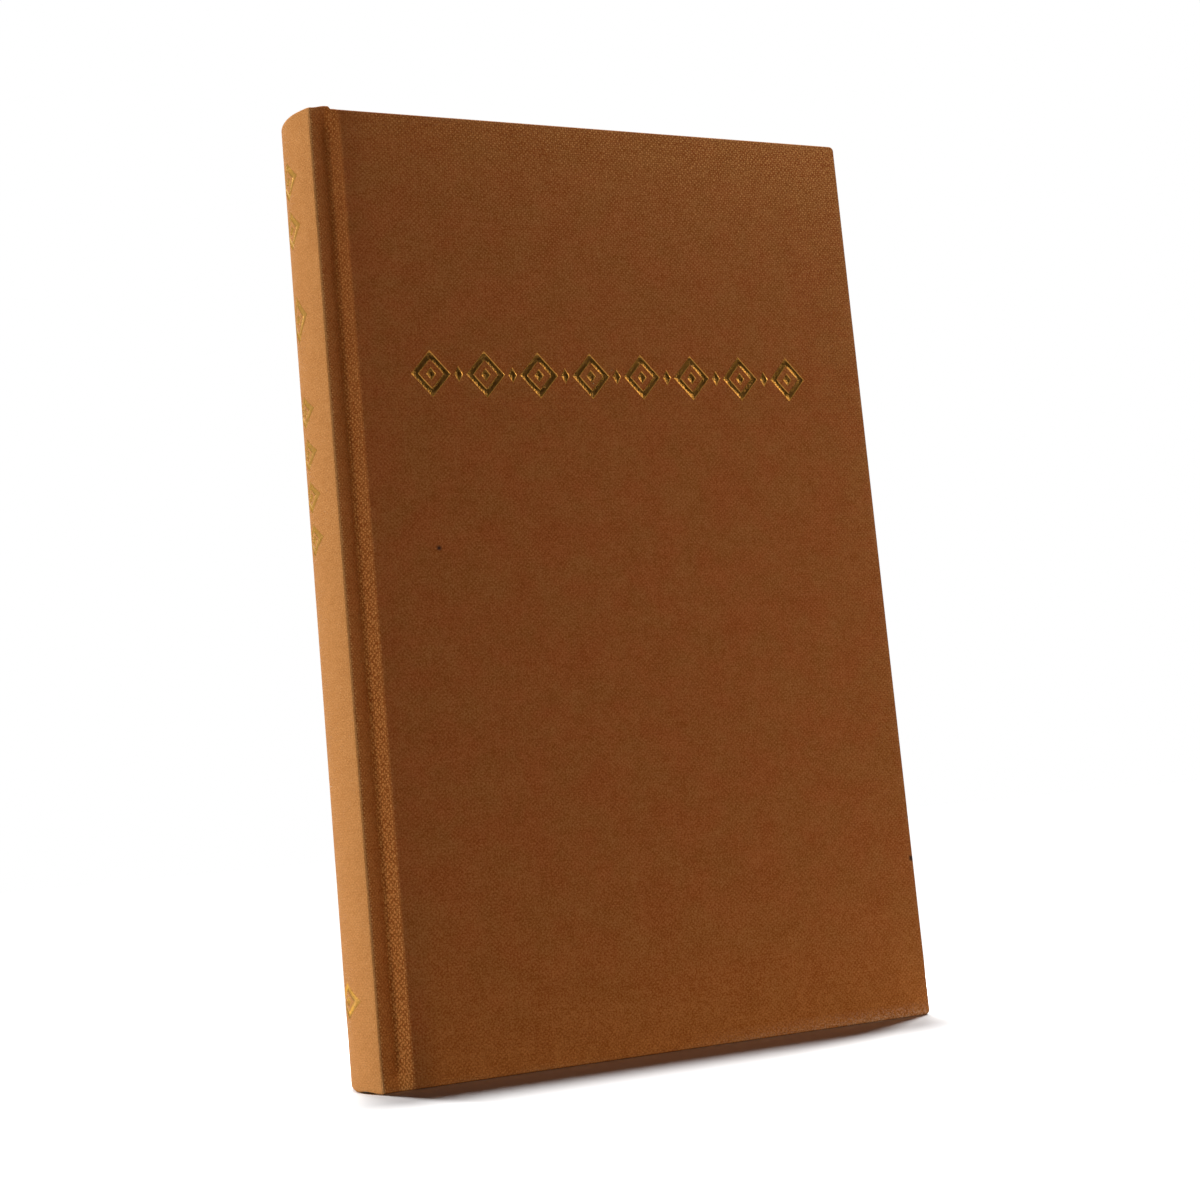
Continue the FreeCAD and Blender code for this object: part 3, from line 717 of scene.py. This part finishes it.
def page_block():
    """The text block leaf by leaf: each leaf ends a little off its neighbours."""
    draw = np.random.default_rng(21)
    count = int(round(2 * PAGE_LEVEL / LEAF))
    levels = np.linspace(-PAGE_LEVEL, PAGE_LEVEL, count + 1)
    leaf_width = X_PAGE - X_HINGE - 0.03
    uneven_fore, uneven_ends = 0.035, 0.03
    points = []
    for k in range(count):
        middle = (levels[k] + levels[k + 1]) / 2
        x_spine = X_ROUND - math.sqrt(BLOCK_RADIUS ** 2 - middle ** 2)
        x_fore = x_spine + leaf_width + draw.normal(0, uneven_fore)
        x_fore += 0.03 * math.cos(2 * math.pi * k / SIGNATURE)
        z_low = block_low[2] + abs(draw.normal(0, uneven_ends))
        z_high = block_high[2] - abs(draw.normal(0, uneven_ends))
        for level in (levels[k], levels[k + 1]):
            for x, z in ((x_spine, z_low), (x_fore, z_low), (x_fore, z_high), (x_spine, z_high)):
                points.append((x, level, z))
    last = len(points) - 4
    faces = [[0, 1, 2, 3], [last + 3, last + 2, last + 1, last]]
    for first in range(0, last, 4):
        for k in range(4):
            a, b = first + k, first + (k + 1) % 4
            faces.append([a + 4, b + 4, b, a])
    obj = make_object("leaves", points, faces)
    obj.data.polygons.foreach_set("use_smooth", np.zeros(len(obj.data.polygons), bool))
    return obj


def on_round(radius, angle, z):
    """A point round the middle of the spine's arc; angle 0 is at mid-spine."""
    return (X_ROUND - radius * math.cos(angle), radius * math.sin(angle), z)


def end_band(name, up):
    """A sewn band: a bead wound with thread, along the round of the spine, and its glued tongue."""
    seat = block_high[2] if up > 0 else block_low[2]
    bead_z = seat + up * (BAND_RADIUS - BAND_SEAT)
    outer, inner = BLOCK_RADIUS + MULL, BLOCK_RADIUS
    ring_radius = outer - BAND_RADIUS
    half = math.asin(PAGE_LEVEL / ring_radius) * 0.99
    steps, sides, columns = 208, 14, 24
    points, uv, faces = [], [], []
    for s in range(steps + 1):
        angle = -half + 2 * half * s / steps
        along = ring_radius * angle
        radius = BAND_RADIUS * (0.94 + 0.06 * abs(math.sin(math.pi * along / BAND_THREAD)))
        for k in range(sides):
            around = 2 * math.pi * k / sides
            z = bead_z + up * max(radius * math.sin(around), -(BAND_RADIUS - BAND_SEAT))
            points.append(on_round(ring_radius + radius * math.cos(around), angle, z))
            uv.append((along, radius * around))
    for first in range(0, steps * sides, sides):
        for k in range(sides):
            a, b = first + k, first + (k + 1) % sides
            faces.append([a, b, b + sides, a + sides])
    faces.append(list(range(sides))[::-1])
    faces.append([steps * sides + k for k in range(sides)])
    rows = []
    for z in (bead_z, seat - up * BAND_TONGUE):
        for radius in (outer, inner):
            rows.append(range(len(points), len(points) + columns + 1))
            for c in range(columns + 1):
                angle = half * (2 * c / columns - 1)
                points.append(on_round(radius, angle, z))
                uv.append((radius * angle, z))
    around = [rows[0], rows[1], rows[3], rows[2], rows[0]]
    for low, high in zip(around, around[1:]):
        for c in range(columns):
            faces.append([low[c], high[c], high[c + 1], low[c + 1]])
    faces.append([row[0] for row in around[3::-1]])
    faces.append([row[-1] for row in around[:4]])
    return make_object(name, points, faces if up > 0 else flipped(faces), uv)


def stiffener(name):
    """The strip of board that holds the spine round, trimmed just short of the cloth's fold."""
    low, high = box_mm("spine_inlay")
    outer = X_ROUND - low[0]
    half = math.asin(high[1] / outer)
    heights = np.linspace(low[2], HEIGHT - CLOTH - 0.1, 60)
    angles = np.linspace(-half, half, 49)
    fray = 0.03 * ripple(*np.broadcast_arrays(heights[:, None], angles * 17.0), 9.0, 4.0, 2.2)
    points = []
    for radius, rough in ((outer, 0 * fray), (outer - INLAY, fray)):
        for row, z in enumerate(heights):
            for column, angle in enumerate(angles):
                points.append(on_round(radius + rough[row, column], angle, z))
    size = (len(angles), len(heights))
    count = len(angles) * len(heights)
    faces = flipped(grid_faces(*size, 0)) + grid_faces(*size, count)
    faces += flipped(grid_border(*size, count))
    return make_object(name, points, faces)


def copy_of(node, name):
    """A new piece with the mesh of a CAD node, for a node that has to flex."""
    return link_object(name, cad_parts[node].data.copy())



# --- materials ---
class Field:
    """A value that varies over a surface. Sums and products of fields are nodes as well."""

    def __init__(self, nodes, socket):
        self.nodes = nodes
        self.socket = socket

    def __add__(self, other):
        return self.nodes.math("ADD", self, other)

    def __sub__(self, other):
        return self.nodes.math("SUBTRACT", self, other)

    def __mul__(self, other):
        return self.nodes.math("MULTIPLY", self, other)


class Nodes:
    """A short way to write the nodes of a material or a world."""

    def __init__(self, owner):
        self.owner = owner
        owner.use_nodes = True
        self.tree = owner.node_tree
        self.tree.nodes.clear()

    def node(self, kind, inputs=None, **settings):
        made = self.tree.nodes.new(kind)
        for key, value in settings.items():
            setattr(made, key, value)
        for key, value in (inputs or {}).items():
            if isinstance(value, Field):
                self.tree.links.new(value.socket, made.inputs[key])
            else:
                made.inputs[key].default_value = value
        return made

    def field(self, kind, inputs=None, output=0, **settings):
        return Field(self, self.node(kind, inputs, **settings).outputs[output])

    def math(self, operation, a, b=0.0):
        return self.field("ShaderNodeMath", {0: a, 1: b}, operation=operation)

    def vector(self, x, y, z=0.0):
        return self.field("ShaderNodeCombineXYZ", {0: x, 1: y, 2: z})

    def split(self, vector):
        made = self.node("ShaderNodeSeparateXYZ", {0: vector})
        return [Field(self, part) for part in made.outputs]

    def noise(self, vector, scale, detail=2.0, roughness=0.5):
        inputs = {"Vector": vector, "Scale": scale, "Detail": detail, "Roughness": roughness}
        return self.field("ShaderNodeTexNoise", inputs, "Fac")

    def distance(self, vector, place):
        inputs = {0: vector, 1: (*place, 0.0)}
        return self.field("ShaderNodeVectorMath", inputs, "Value", operation="DISTANCE")

    def range(self, value, low, high, to_low, to_high):
        inputs = {0: value, 1: low, 2: high, 3: to_low, 4: to_high}
        return self.field("ShaderNodeMapRange", inputs)

    def mix(self, share, a, b, blend="MIX"):
        inputs = {0: share, 6: a, 7: b}
        return self.field("ShaderNodeMix", inputs, 2, data_type="RGBA", blend_type=blend)

    def tint(self, colour, value):
        """The colour times a grey value."""
        grey = self.field("ShaderNodeCombineColor", {0: value, 1: value, 2: value})
        return self.mix(1.0, colour, grey, "MULTIPLY")

    def bump(self, height, distance, strength):
        inputs = {"Height": height, "Distance": distance, "Strength": strength}
        return self.field("ShaderNodeBump", inputs)

    def finish(self, colour, roughness, normal, **constants):
        inputs = {"Base Color": colour, "Roughness": roughness, "Normal": normal}
        inputs.update({key.replace("_", " "): value for key, value in constants.items()})
        return self.surface("ShaderNodeBsdfPrincipled", inputs)

    def surface(self, kind, inputs):
        """End a material with its shader."""
        self.node("ShaderNodeOutputMaterial", {"Surface": self.field(kind, inputs)})
        return self.owner


def new_material(name):
    return Nodes(bpy.data.materials.new(name))


def rgb(red, green, blue):
    return (red, green, blue, 1.0)


def cloth_coordinates(nodes):
    """Developed coordinates of the cloth in millimetres, as a vector and as u and v."""
    uv = nodes.field("ShaderNodeUVMap", uv_map="cloth")
    u, v, _ = nodes.split(uv)
    return uv, u, v


def weave(nodes, uv, u, v):
    """Height of a plain weave, from 0 to 1, and how much warp is on top, from 0 to 1."""
    waves = []
    for axis, scale, sway in ((u, 0.9, 0.95), (v, 1.0, -0.90)):
        wander = (nodes.noise(uv, scale, 3.0, 0.6) - 0.5) * sway
        waves.append(nodes.math("SINE", (axis + wander) * (math.pi / WEAVE_PITCH)))
    crossing = waves[0] * waves[1]
    pillow = nodes.math("POWER", nodes.math("ABSOLUTE", crossing), 0.55)
    on_top = nodes.range(crossing, -0.35, 0.35, 0.0, 1.0)
    return pillow * nodes.range(on_top, 0.0, 1.0, 0.72, 1.0), on_top


def book_cloth():
    """Caramel book cloth: plain weave, uneven threads, soft mottling, rubbed folds, painted shade
    between the threads and painted light on the lit parts of the spine, groove and covers.
    """
    nodes = new_material("book_cloth")
    uv, u, v = cloth_coordinates(nodes)
    height, on_top = weave(nodes, uv, u, v)
    painted_light, worn, stretch_and_painted_light = (
        nodes.field("ShaderNodeAttribute", output="Fac", attribute_name=name)
        for name in ("painted_light", "worn", "stretch_and_painted_light")
    )

    def streaks(across, along, detail, roughness=0.5):
        return nodes.noise(nodes.vector(u * across, v * along), 1.0, detail, roughness)

    fibres = nodes.noise(uv, 2.6, 3.0, 0.7)
    clumps = nodes.noise(uv, 0.7, 3.0, 0.6)
    mottle = nodes.noise(uv, 0.16, 4.0, 0.55)
    loose = streaks(2.4, 1.1, 2.0, 0.7)
    # Where the painted light and the stretch meet, on the groove's slope, the weave shows more:
    # stretched threads, and painted light catching them.
    taut_and_lit = painted_light * stretch_and_painted_light
    tightness = nodes.range(nodes.noise(uv, 0.45, 2.0), 0.3, 0.7, 0.0, 0.36)
    level = (on_top - 0.5) * (tightness + taut_and_lit * 1.5)
    level = level + taut_and_lit * nodes.range(loose, 0.36, 0.64, -1.3, 1.5)
    # The weave's height lightens the tops of the threads and darkens the hollows between them:
    # painted shade. The fibres, streaks, clumps and mottling are the cloth's random tone.
    for value, share in (
        (height, 0.26), (fibres, 3.1), (streaks(1.8, 0.2, 1.0), 0.26),
        (streaks(0.2, 1.8, 1.0), 0.22), (clumps, 0.86), (mottle, 0.50),
    ):
        level = level + (value - 0.5) * share
    level = level * nodes.range(stretch_and_painted_light, 0.0, 1.0, 1.0, 1.35) + 0.47

    hue = nodes.range(nodes.noise(uv, 0.11, 4.0, 0.6), 0.38, 0.62, 0.0, 1.0)
    dark = nodes.mix(hue, rgb(0.207, 0.0485, 0.0013), rgb(0.216, 0.041, 0.0011))
    light = nodes.mix(hue, rgb(0.352, 0.122, 0.0290), rgb(0.372, 0.111, 0.0262))
    # Lighter cloth for the shoulder, the groove's slope and the cover's foot and top: stretched
    # cloth, and painted light.
    pressed = nodes.mix(level, rgb(0.342, 0.083, 0.0084), rgb(0.584, 0.192, 0.0390))
    ground = nodes.mix(stretch_and_painted_light, nodes.mix(level, dark, light), pressed)
    # The colour under the painted highlight on the spine, the groove's slope and the cover's top
    # and fore edge, warmer where the painted light meets the stretched cloth.
    painted_lit_colour = nodes.mix(level, rgb(0.430, 0.166, 0.0370), rgb(0.600, 0.270, 0.0830))
    warmer = nodes.mix(level, rgb(0.440, 0.145, 0.0250), rgb(0.760, 0.310, 0.0760))
    painted_lit_colour = nodes.mix(stretch_and_painted_light, painted_lit_colour, warmer)
    # The painted light's edge is broken up thread by thread.
    partly = painted_light * nodes.math("SUBTRACT", 1.0, painted_light)
    strands = (height - 1.35) + loose * 1.5
    colour = nodes.mix(painted_light + partly * (strands * 8.0), ground, painted_lit_colour)

    rubbed = nodes.tint(rgb(0.56, 0.28, 0.105), nodes.range(level, 0.0, 1.0, 0.8, 1.15))
    flecks = nodes.range(nodes.noise(uv, 1.9, 3.0, 0.7), 0.42, 0.60, 0.15, 1.0)
    colour = nodes.mix(worn * flecks, colour, rubbed)
    scuffed = nodes.range(u, L_FLAT + 60.0, L_FLAT + 115.0, 0.0, 0.75)
    scuffed = scuffed * nodes.range(v, 0.3, 3.4, 1.0, 0.0)
    grit = nodes.range(nodes.noise(uv, 1.6, 4.0, 0.8), 0.46, 0.64, 0.0, 1.0)
    colour = nodes.mix(scuffed * grit, colour, rgb(0.78, 0.48, 0.28))
    for x, z, radius in STAINS:
        ragged = nodes.distance(uv, (length_at(x), z)) + fibres * 0.4
        speck = nodes.range(ragged, radius - 0.25, radius + 0.3, 1.0, 0.0)
        colour = nodes.mix(speck, colour, rgb(0.030, 0.010, 0.004))
    return nodes.finish(
        colour, nodes.range(fibres, 0.2, 0.8, 0.78, 0.92),
        nodes.bump(height + fibres * 0.7, 0.00012, 0.7), Specular_IOR_Level=0.2,
        Sheen_Weight=0.05, Sheen_Roughness=0.5, Sheen_Tint=rgb(0.95, 0.72, 0.45),
    )


def gold_foil(name, deep, bright, smoothest):
    """Gold foil that has taken the weave of the cloth, rubbed thin here and there."""
    nodes = new_material(name)
    uv, u, v = cloth_coordinates(nodes)
    height, _ = weave(nodes, uv, u, v)
    fibres = nodes.noise(uv, 3.2, 3.0, 0.62)
    rub = nodes.noise(uv, 0.8, 4.0, 0.65)
    thin = nodes.range(rub, 0.52, 0.66, 0.0, 1.0) * nodes.range(height, 0.25, 0.7, 1.0, 0.1)
    colour = nodes.mix(thin * 0.6, nodes.mix(rub, deep, bright), rgb(0.26, 0.11, 0.03))
    return nodes.finish(
        colour, nodes.range(fibres, 0.2, 0.8, smoothest, smoothest + 0.14),
        nodes.bump(height + fibres * 0.4, 0.00007, 0.45),
        Metallic=nodes.range(thin, 0.0, 1.0, 1.0, 0.45), Specular_Tint=rgb(0.88, 0.66, 0.36),
    )


def object_place(nodes):
    """The place on the piece, in metres."""
    return nodes.field("ShaderNodeTexCoord", output="Object")


def paper(name, colour, line_pitch=None):
    """Uncoated paper with soft cloudiness; line_pitch adds the edges of a pile of leaves."""
    nodes = new_material(name)
    place = object_place(nodes)
    clouds = nodes.noise(place, 90.0, 4.0, 0.6)
    grain = nodes.noise(place, 2600.0, 2.0, 0.6)
    shade = nodes.range(clouds, 0.25, 0.75, 0.95, 1.03) * nodes.range(grain, 0.2, 0.8, 0.965, 1.03)
    height = grain
    if line_pitch:
        x, y, z = nodes.split(place)
        stretched = nodes.vector(y * (1.0 / line_pitch), x * 25.0, z * 25.0)
        leaves = nodes.noise(stretched, 1.0, 3.0, 0.75)
        shade = shade * nodes.range(leaves, 0.3, 0.7, 0.80, 1.06)
        height = leaves + grain * 0.2
    return nodes.finish(
        nodes.tint(colour, shade), nodes.range(grain, 0.2, 0.8, 0.80, 0.93),
        nodes.bump(height, 0.00003, 0.5), Specular_IOR_Level=0.3,
    )


def cardboard():
    """Grey-brown binder's board with flecks."""
    nodes = new_material("board")
    place = object_place(nodes)
    flecks = nodes.noise(place, 1500.0, 4.0, 0.7)
    clouds = nodes.noise(place, 120.0, 3.0, 0.6)
    fleck = nodes.range(flecks, 0.35, 0.65, 0.0, 1.0)
    colour = nodes.mix(fleck, rgb(0.30, 0.25, 0.19), rgb(0.44, 0.38, 0.30))
    return nodes.finish(
        nodes.tint(colour, nodes.range(clouds, 0.2, 0.8, 0.9, 1.08)),
        nodes.range(flecks, 0.2, 0.8, 0.82, 0.95), nodes.bump(flecks, 0.00006, 0.5),
    )


def gauze():
    """Open gauze, starched: threads with darker holes between them."""
    nodes = new_material("mull_gauze")
    place = object_place(nodes)
    x, y, z = nodes.split(place)
    turns = 2 * math.pi / (GAUZE_PITCH * MM)
    waves = [nodes.math("SINE", axis * turns) for axis in (x + y, z)]
    threads = nodes.math("MAXIMUM", *waves)
    fuzz = nodes.noise(place, 2500.0, 3.0, 0.6)
    on_thread = nodes.range(threads, -0.1, 0.5, 0.0, 1.0)
    colour = nodes.mix(on_thread, rgb(0.50, 0.45, 0.36), rgb(0.86, 0.83, 0.75))
    return nodes.finish(
        nodes.tint(colour, nodes.range(fuzz, 0.2, 0.8, 0.9, 1.06)),
        nodes.range(fuzz, 0.2, 0.8, 0.8, 0.95), nodes.bump(threads, 0.00008, 0.6),
    )


def band_thread():
    """Two-coloured thread wound round the head and tail bands."""
    nodes = new_material("band_thread")
    uv, u, v = cloth_coordinates(nodes)
    winding = nodes.math("SINE", u * (math.pi / (2 * BAND_THREAD)))
    twist = nodes.math("SINE", u * (2 * math.pi / BAND_THREAD) + v * 9.0)
    fuzz = nodes.noise(uv, 5.0, 3.0, 0.6)
    pale = nodes.range(winding, -0.08, 0.08, 0.0, 1.0)
    colour = nodes.mix(pale, rgb(0.30, 0.085, 0.022), rgb(0.80, 0.74, 0.58))
    return nodes.finish(
        nodes.tint(colour, nodes.range(fuzz, 0.2, 0.8, 0.86, 1.08)),
        nodes.range(fuzz, 0.2, 0.8, 0.55, 0.75), nodes.bump(twist + fuzz, 0.00004, 0.5),
        Sheen_Weight=0.15,
    )


def dress(obj, material):
    """Give a piece its material."""
    obj.data.materials.clear()
    obj.data.materials.append(material)
    return obj


# --- the pieces ---
FRONT_MARKS = front_stamps()
SPINE_MARKS = spine_stamps()

cloth = book_cloth()
foil = gold_foil("gold_foil", rgb(0.37, 0.160, 0.028), rgb(0.50, 0.235, 0.048), 0.24)
faded_foil = gold_foil("faded_gold_foil", rgb(0.31, 0.163, 0.043), rgb(0.40, 0.222, 0.064), 0.38)
leaf_paper = paper("page_paper", rgb(0.70, 0.64, 0.515), line_pitch=0.00013)
end_paper = paper("endpaper", rgb(0.76, 0.72, 0.62))
lining = paper("lining_paper", rgb(0.56, 0.44, 0.30))
board = cardboard()
mull = gauze()
thread = band_thread()

COVER_LENGTH = HEIGHT + 2 * (TURN_IN + FACE - INNER_FACE)
COVER_WIDTH = L_FLAT + X_FORE - X_FLAT - L_SEAM + TURN_IN + FACE - INNER_FACE
CORNER_CUT = (TURN_IN + FACE - INNER_FACE) ** 2 + TURN_IN ** 2

spine = spine_sheet()
spine_cloth = dress(spine.build("case_spine_cloth", FRONT), cloth)
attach(spine_cloth, "book_block")
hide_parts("spine_cloth")
2 * L_SEAM * MM
spine_foil = dress(foil_from(spine, "spine_gilding", FRONT, spine_depth), faded_foil)
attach(spine_foil, "book_block")
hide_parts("spine_foil")

for side, name in ((FRONT, "front"), (BACK, "back")):
    is_front = side == FRONT
    sheet = cover_sheet(front_loops() if is_front else [], front_depth if is_front else no_depth)
    piece = dress(sheet.build("case_" + name + "_cloth", side), cloth)
    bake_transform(piece)
    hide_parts(name + "_joint_cloth", name + "_cover_cloth")
    COVER_WIDTH * MM
    COVER_LENGTH * MM
    (COVER_WIDTH * COVER_LENGTH - 2 * CORNER_CUT) * MM * MM
    if is_front:
        gilding = dress(foil_from(sheet, "front_gilding", side, front_depth), foil)
        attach(gilding, "front_cover")
        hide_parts("front_cover_foil")
    sheet_paper = dress(pastedown(name + "_endpaper", side), end_paper)
    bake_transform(sheet_paper)
    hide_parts(name + "_pastedown", name + "_joint_paper")
    strip = dress(copy_of(name + "_joint_mull", name + "_mull_hinge"), mull)
    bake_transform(strip)
    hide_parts(name + "_joint_mull")

leaves = dress(page_block(), leaf_paper)
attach(leaves, "book_block")
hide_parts("text_block")
for node, up in (("head_band", 1), ("tail_band", -1)):
    band = dress(end_band(node + "_sewn", up), thread)
    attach(band, "book_block")
    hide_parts(node)

inlay = dress(stiffener("spine_stiffener"), board)
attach(inlay, "book_block")
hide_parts("spine_inlay")

for node, material in (
    ("front_board", board), ("back_board", board),
    ("front_mull_flange", mull), ("back_mull_flange", mull), ("spine_mull", mull),
    ("spine_lining", lining), ("front_flyleaf", end_paper), ("back_flyleaf", end_paper),
):
    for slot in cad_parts[node].material_slots:
        slot.material = material


# --- floor, light and camera ---
def stage_card(name, corners, material):
    """One flat face that is no part of the model."""
    mesh = bpy.data.meshes.new(name)
    mesh.from_pydata(corners, [], [(0, 1, 2, 3)])
    mesh.materials.append(material)
    card = link_object(name, mesh)
    return card


def seen_directly(nodes):
    """1 for the camera and for what it sees in a reflection or through glass, 0 for other light."""
    path = nodes.node("ShaderNodeLightPath")
    camera, *others = (
        Field(nodes, path.outputs[ray])
        for ray in ("Is Camera Ray", "Is Glossy Ray", "Is Transmission Ray")
    )
    for ray in others:
        camera = nodes.math("MAXIMUM", camera, ray)
    return camera


def make_floor():
    """White to the camera; to the light that it throws back on the book, a mid grey table."""
    nodes = new_material("floor")
    colour = nodes.mix(seen_directly(nodes), rgb(0.17, 0.17, 0.17), rgb(0.93, 0.93, 0.93))
    size = 40.0
    corners = [(-size, -size, 0), (size, -size, 0), (size, size, 0), (-size, size, 0)]
    return stage_card("floor", corners, nodes.surface("ShaderNodeBsdfDiffuse", {"Color": colour}))


def make_world():
    """Dim, even light from all round, and plain white where the camera or a reflection sees it."""
    world = bpy.data.worlds.new("studio")
    bpy.context.scene.world = world
    nodes = Nodes(world)
    fill = {"Color": rgb(1.0, 0.97, 0.94), "Strength": 0.015}
    shares = {
        0: seen_directly(nodes),
        1: nodes.field("ShaderNodeBackground", fill),
        2: nodes.field("ShaderNodeBackground", {"Color": rgb(1.0, 1.0, 1.0)}),
    }
    nodes.node("ShaderNodeOutputWorld", {"Surface": nodes.field("ShaderNodeMixShader", shares)})


def lit_things(name, things):
    """The collection that a lamp is limited to."""
    lit = bpy.data.collections.new(name)
    for thing in things:
        lit.objects.link(thing)
    return lit


def place_lamp(name, data, location, towards, receivers):
    lamp = link_object(name, data)
    lamp.location = location
    lamp.rotation_mode = "QUATERNION"
    lamp.rotation_quaternion = towards.to_track_quat("Z", "Y")
    if receivers:
        lamp.light_linking.receiver_collection = receivers
    return lamp


def sun(name, azimuth, elevation, strength, spread, receivers=None):
    """Broad even light. Azimuth 0 comes from -Y, where the front cover faces, and 90 from -X."""
    data = bpy.data.lights.new(name, "SUN")
    data.energy = strength * math.pi
    data.angle = math.radians(spread)
    a, e = math.radians(azimuth), math.radians(elevation)
    towards = Vector((-math.sin(a) * math.cos(e), -math.cos(a) * math.cos(e), math.sin(e)))
    return place_lamp(name, data, (0.0, 0.0, 0.0), towards, receivers)


def soft_box(name, place, target, size, power, receivers=None):
    """A near lamp, so that the light falls off across the book."""
    data = bpy.data.lights.new(name, "AREA")
    data.energy = power
    data.size = size
    return place_lamp(name, data, place, Vector(place) - Vector(target), receivers)


def dark_card():
    """A dark card beside the camera that only reflections see: it keeps the gold from glaring."""
    middle = Vector((0.10, -0.34, 0.28))
    across = Vector((0.94, 0.33, 0.0)).normalized() * 0.50
    up = Vector((0.0, 0.0, 0.40))
    corners = [middle + a * across + b * up for a, b in ((-1, -1), (1, -1), (1, 1), (-1, 1))]
    black = {"Color": rgb(0.02, 0.02, 0.02)}
    material = new_material("dark_card").surface("ShaderNodeBsdfDiffuse", black)
    card = stage_card("dark_card", corners, material)
    card.visible_camera = False
    card.visible_diffuse = False
    card.visible_shadow = False
    card.visible_transmission = False


def make_camera():
    data = bpy.data.cameras.new("camera")
    data.lens = 55.675
    data.sensor_width = 36.0
    camera = link_object("camera", data)
    camera.location = (-0.17420, -0.38315, 0.04789)
    camera.rotation_euler = Euler([math.radians(a) for a in (97.235, 5.273, -23.540)])
    bpy.context.scene.camera = camera


floor = make_floor()
make_world()
book = [thing for thing in bpy.data.objects if thing.type == "MESH" and thing != floor]
no_floor = lit_things("all_but_floor", book)
only_floor = lit_things("only_floor", [floor])
sun("key", azimuth=91.0, elevation=1.5, strength=0.82, spread=6.0, receivers=no_floor)
sun("left", azimuth=67.0, elevation=8.0, strength=0.34, spread=14.0, receivers=no_floor)
sun("rear", azimuth=188.0, elevation=24.0, strength=0.38, spread=40.0, receivers=no_floor)
sun("top", azimuth=197.0, elevation=82.8, strength=1.18, spread=6.0)
soft_box("right", (0.36, -0.17, 0.36), (0.04, 0.0, 0.19), 0.2, 0.52, no_floor)
soft_box("low", (0.15, -0.27, 0.03), (0.0, 0.0, 0.03), 0.2, 0.43, no_floor).visible_glossy = False
soft_box("fore_end", (0.150, 0.050, 0.060), (0.080, -0.010, 0.0), 0.03, 0.22, only_floor)
soft_box("spine_end", (-0.110, 0.140, 0.080), (-0.085, -0.010, 0.0), 0.02, 0.42, only_floor)
dark_card()
make_camera()

bpy.context.scene.view_settings.view_transform = "Standard"
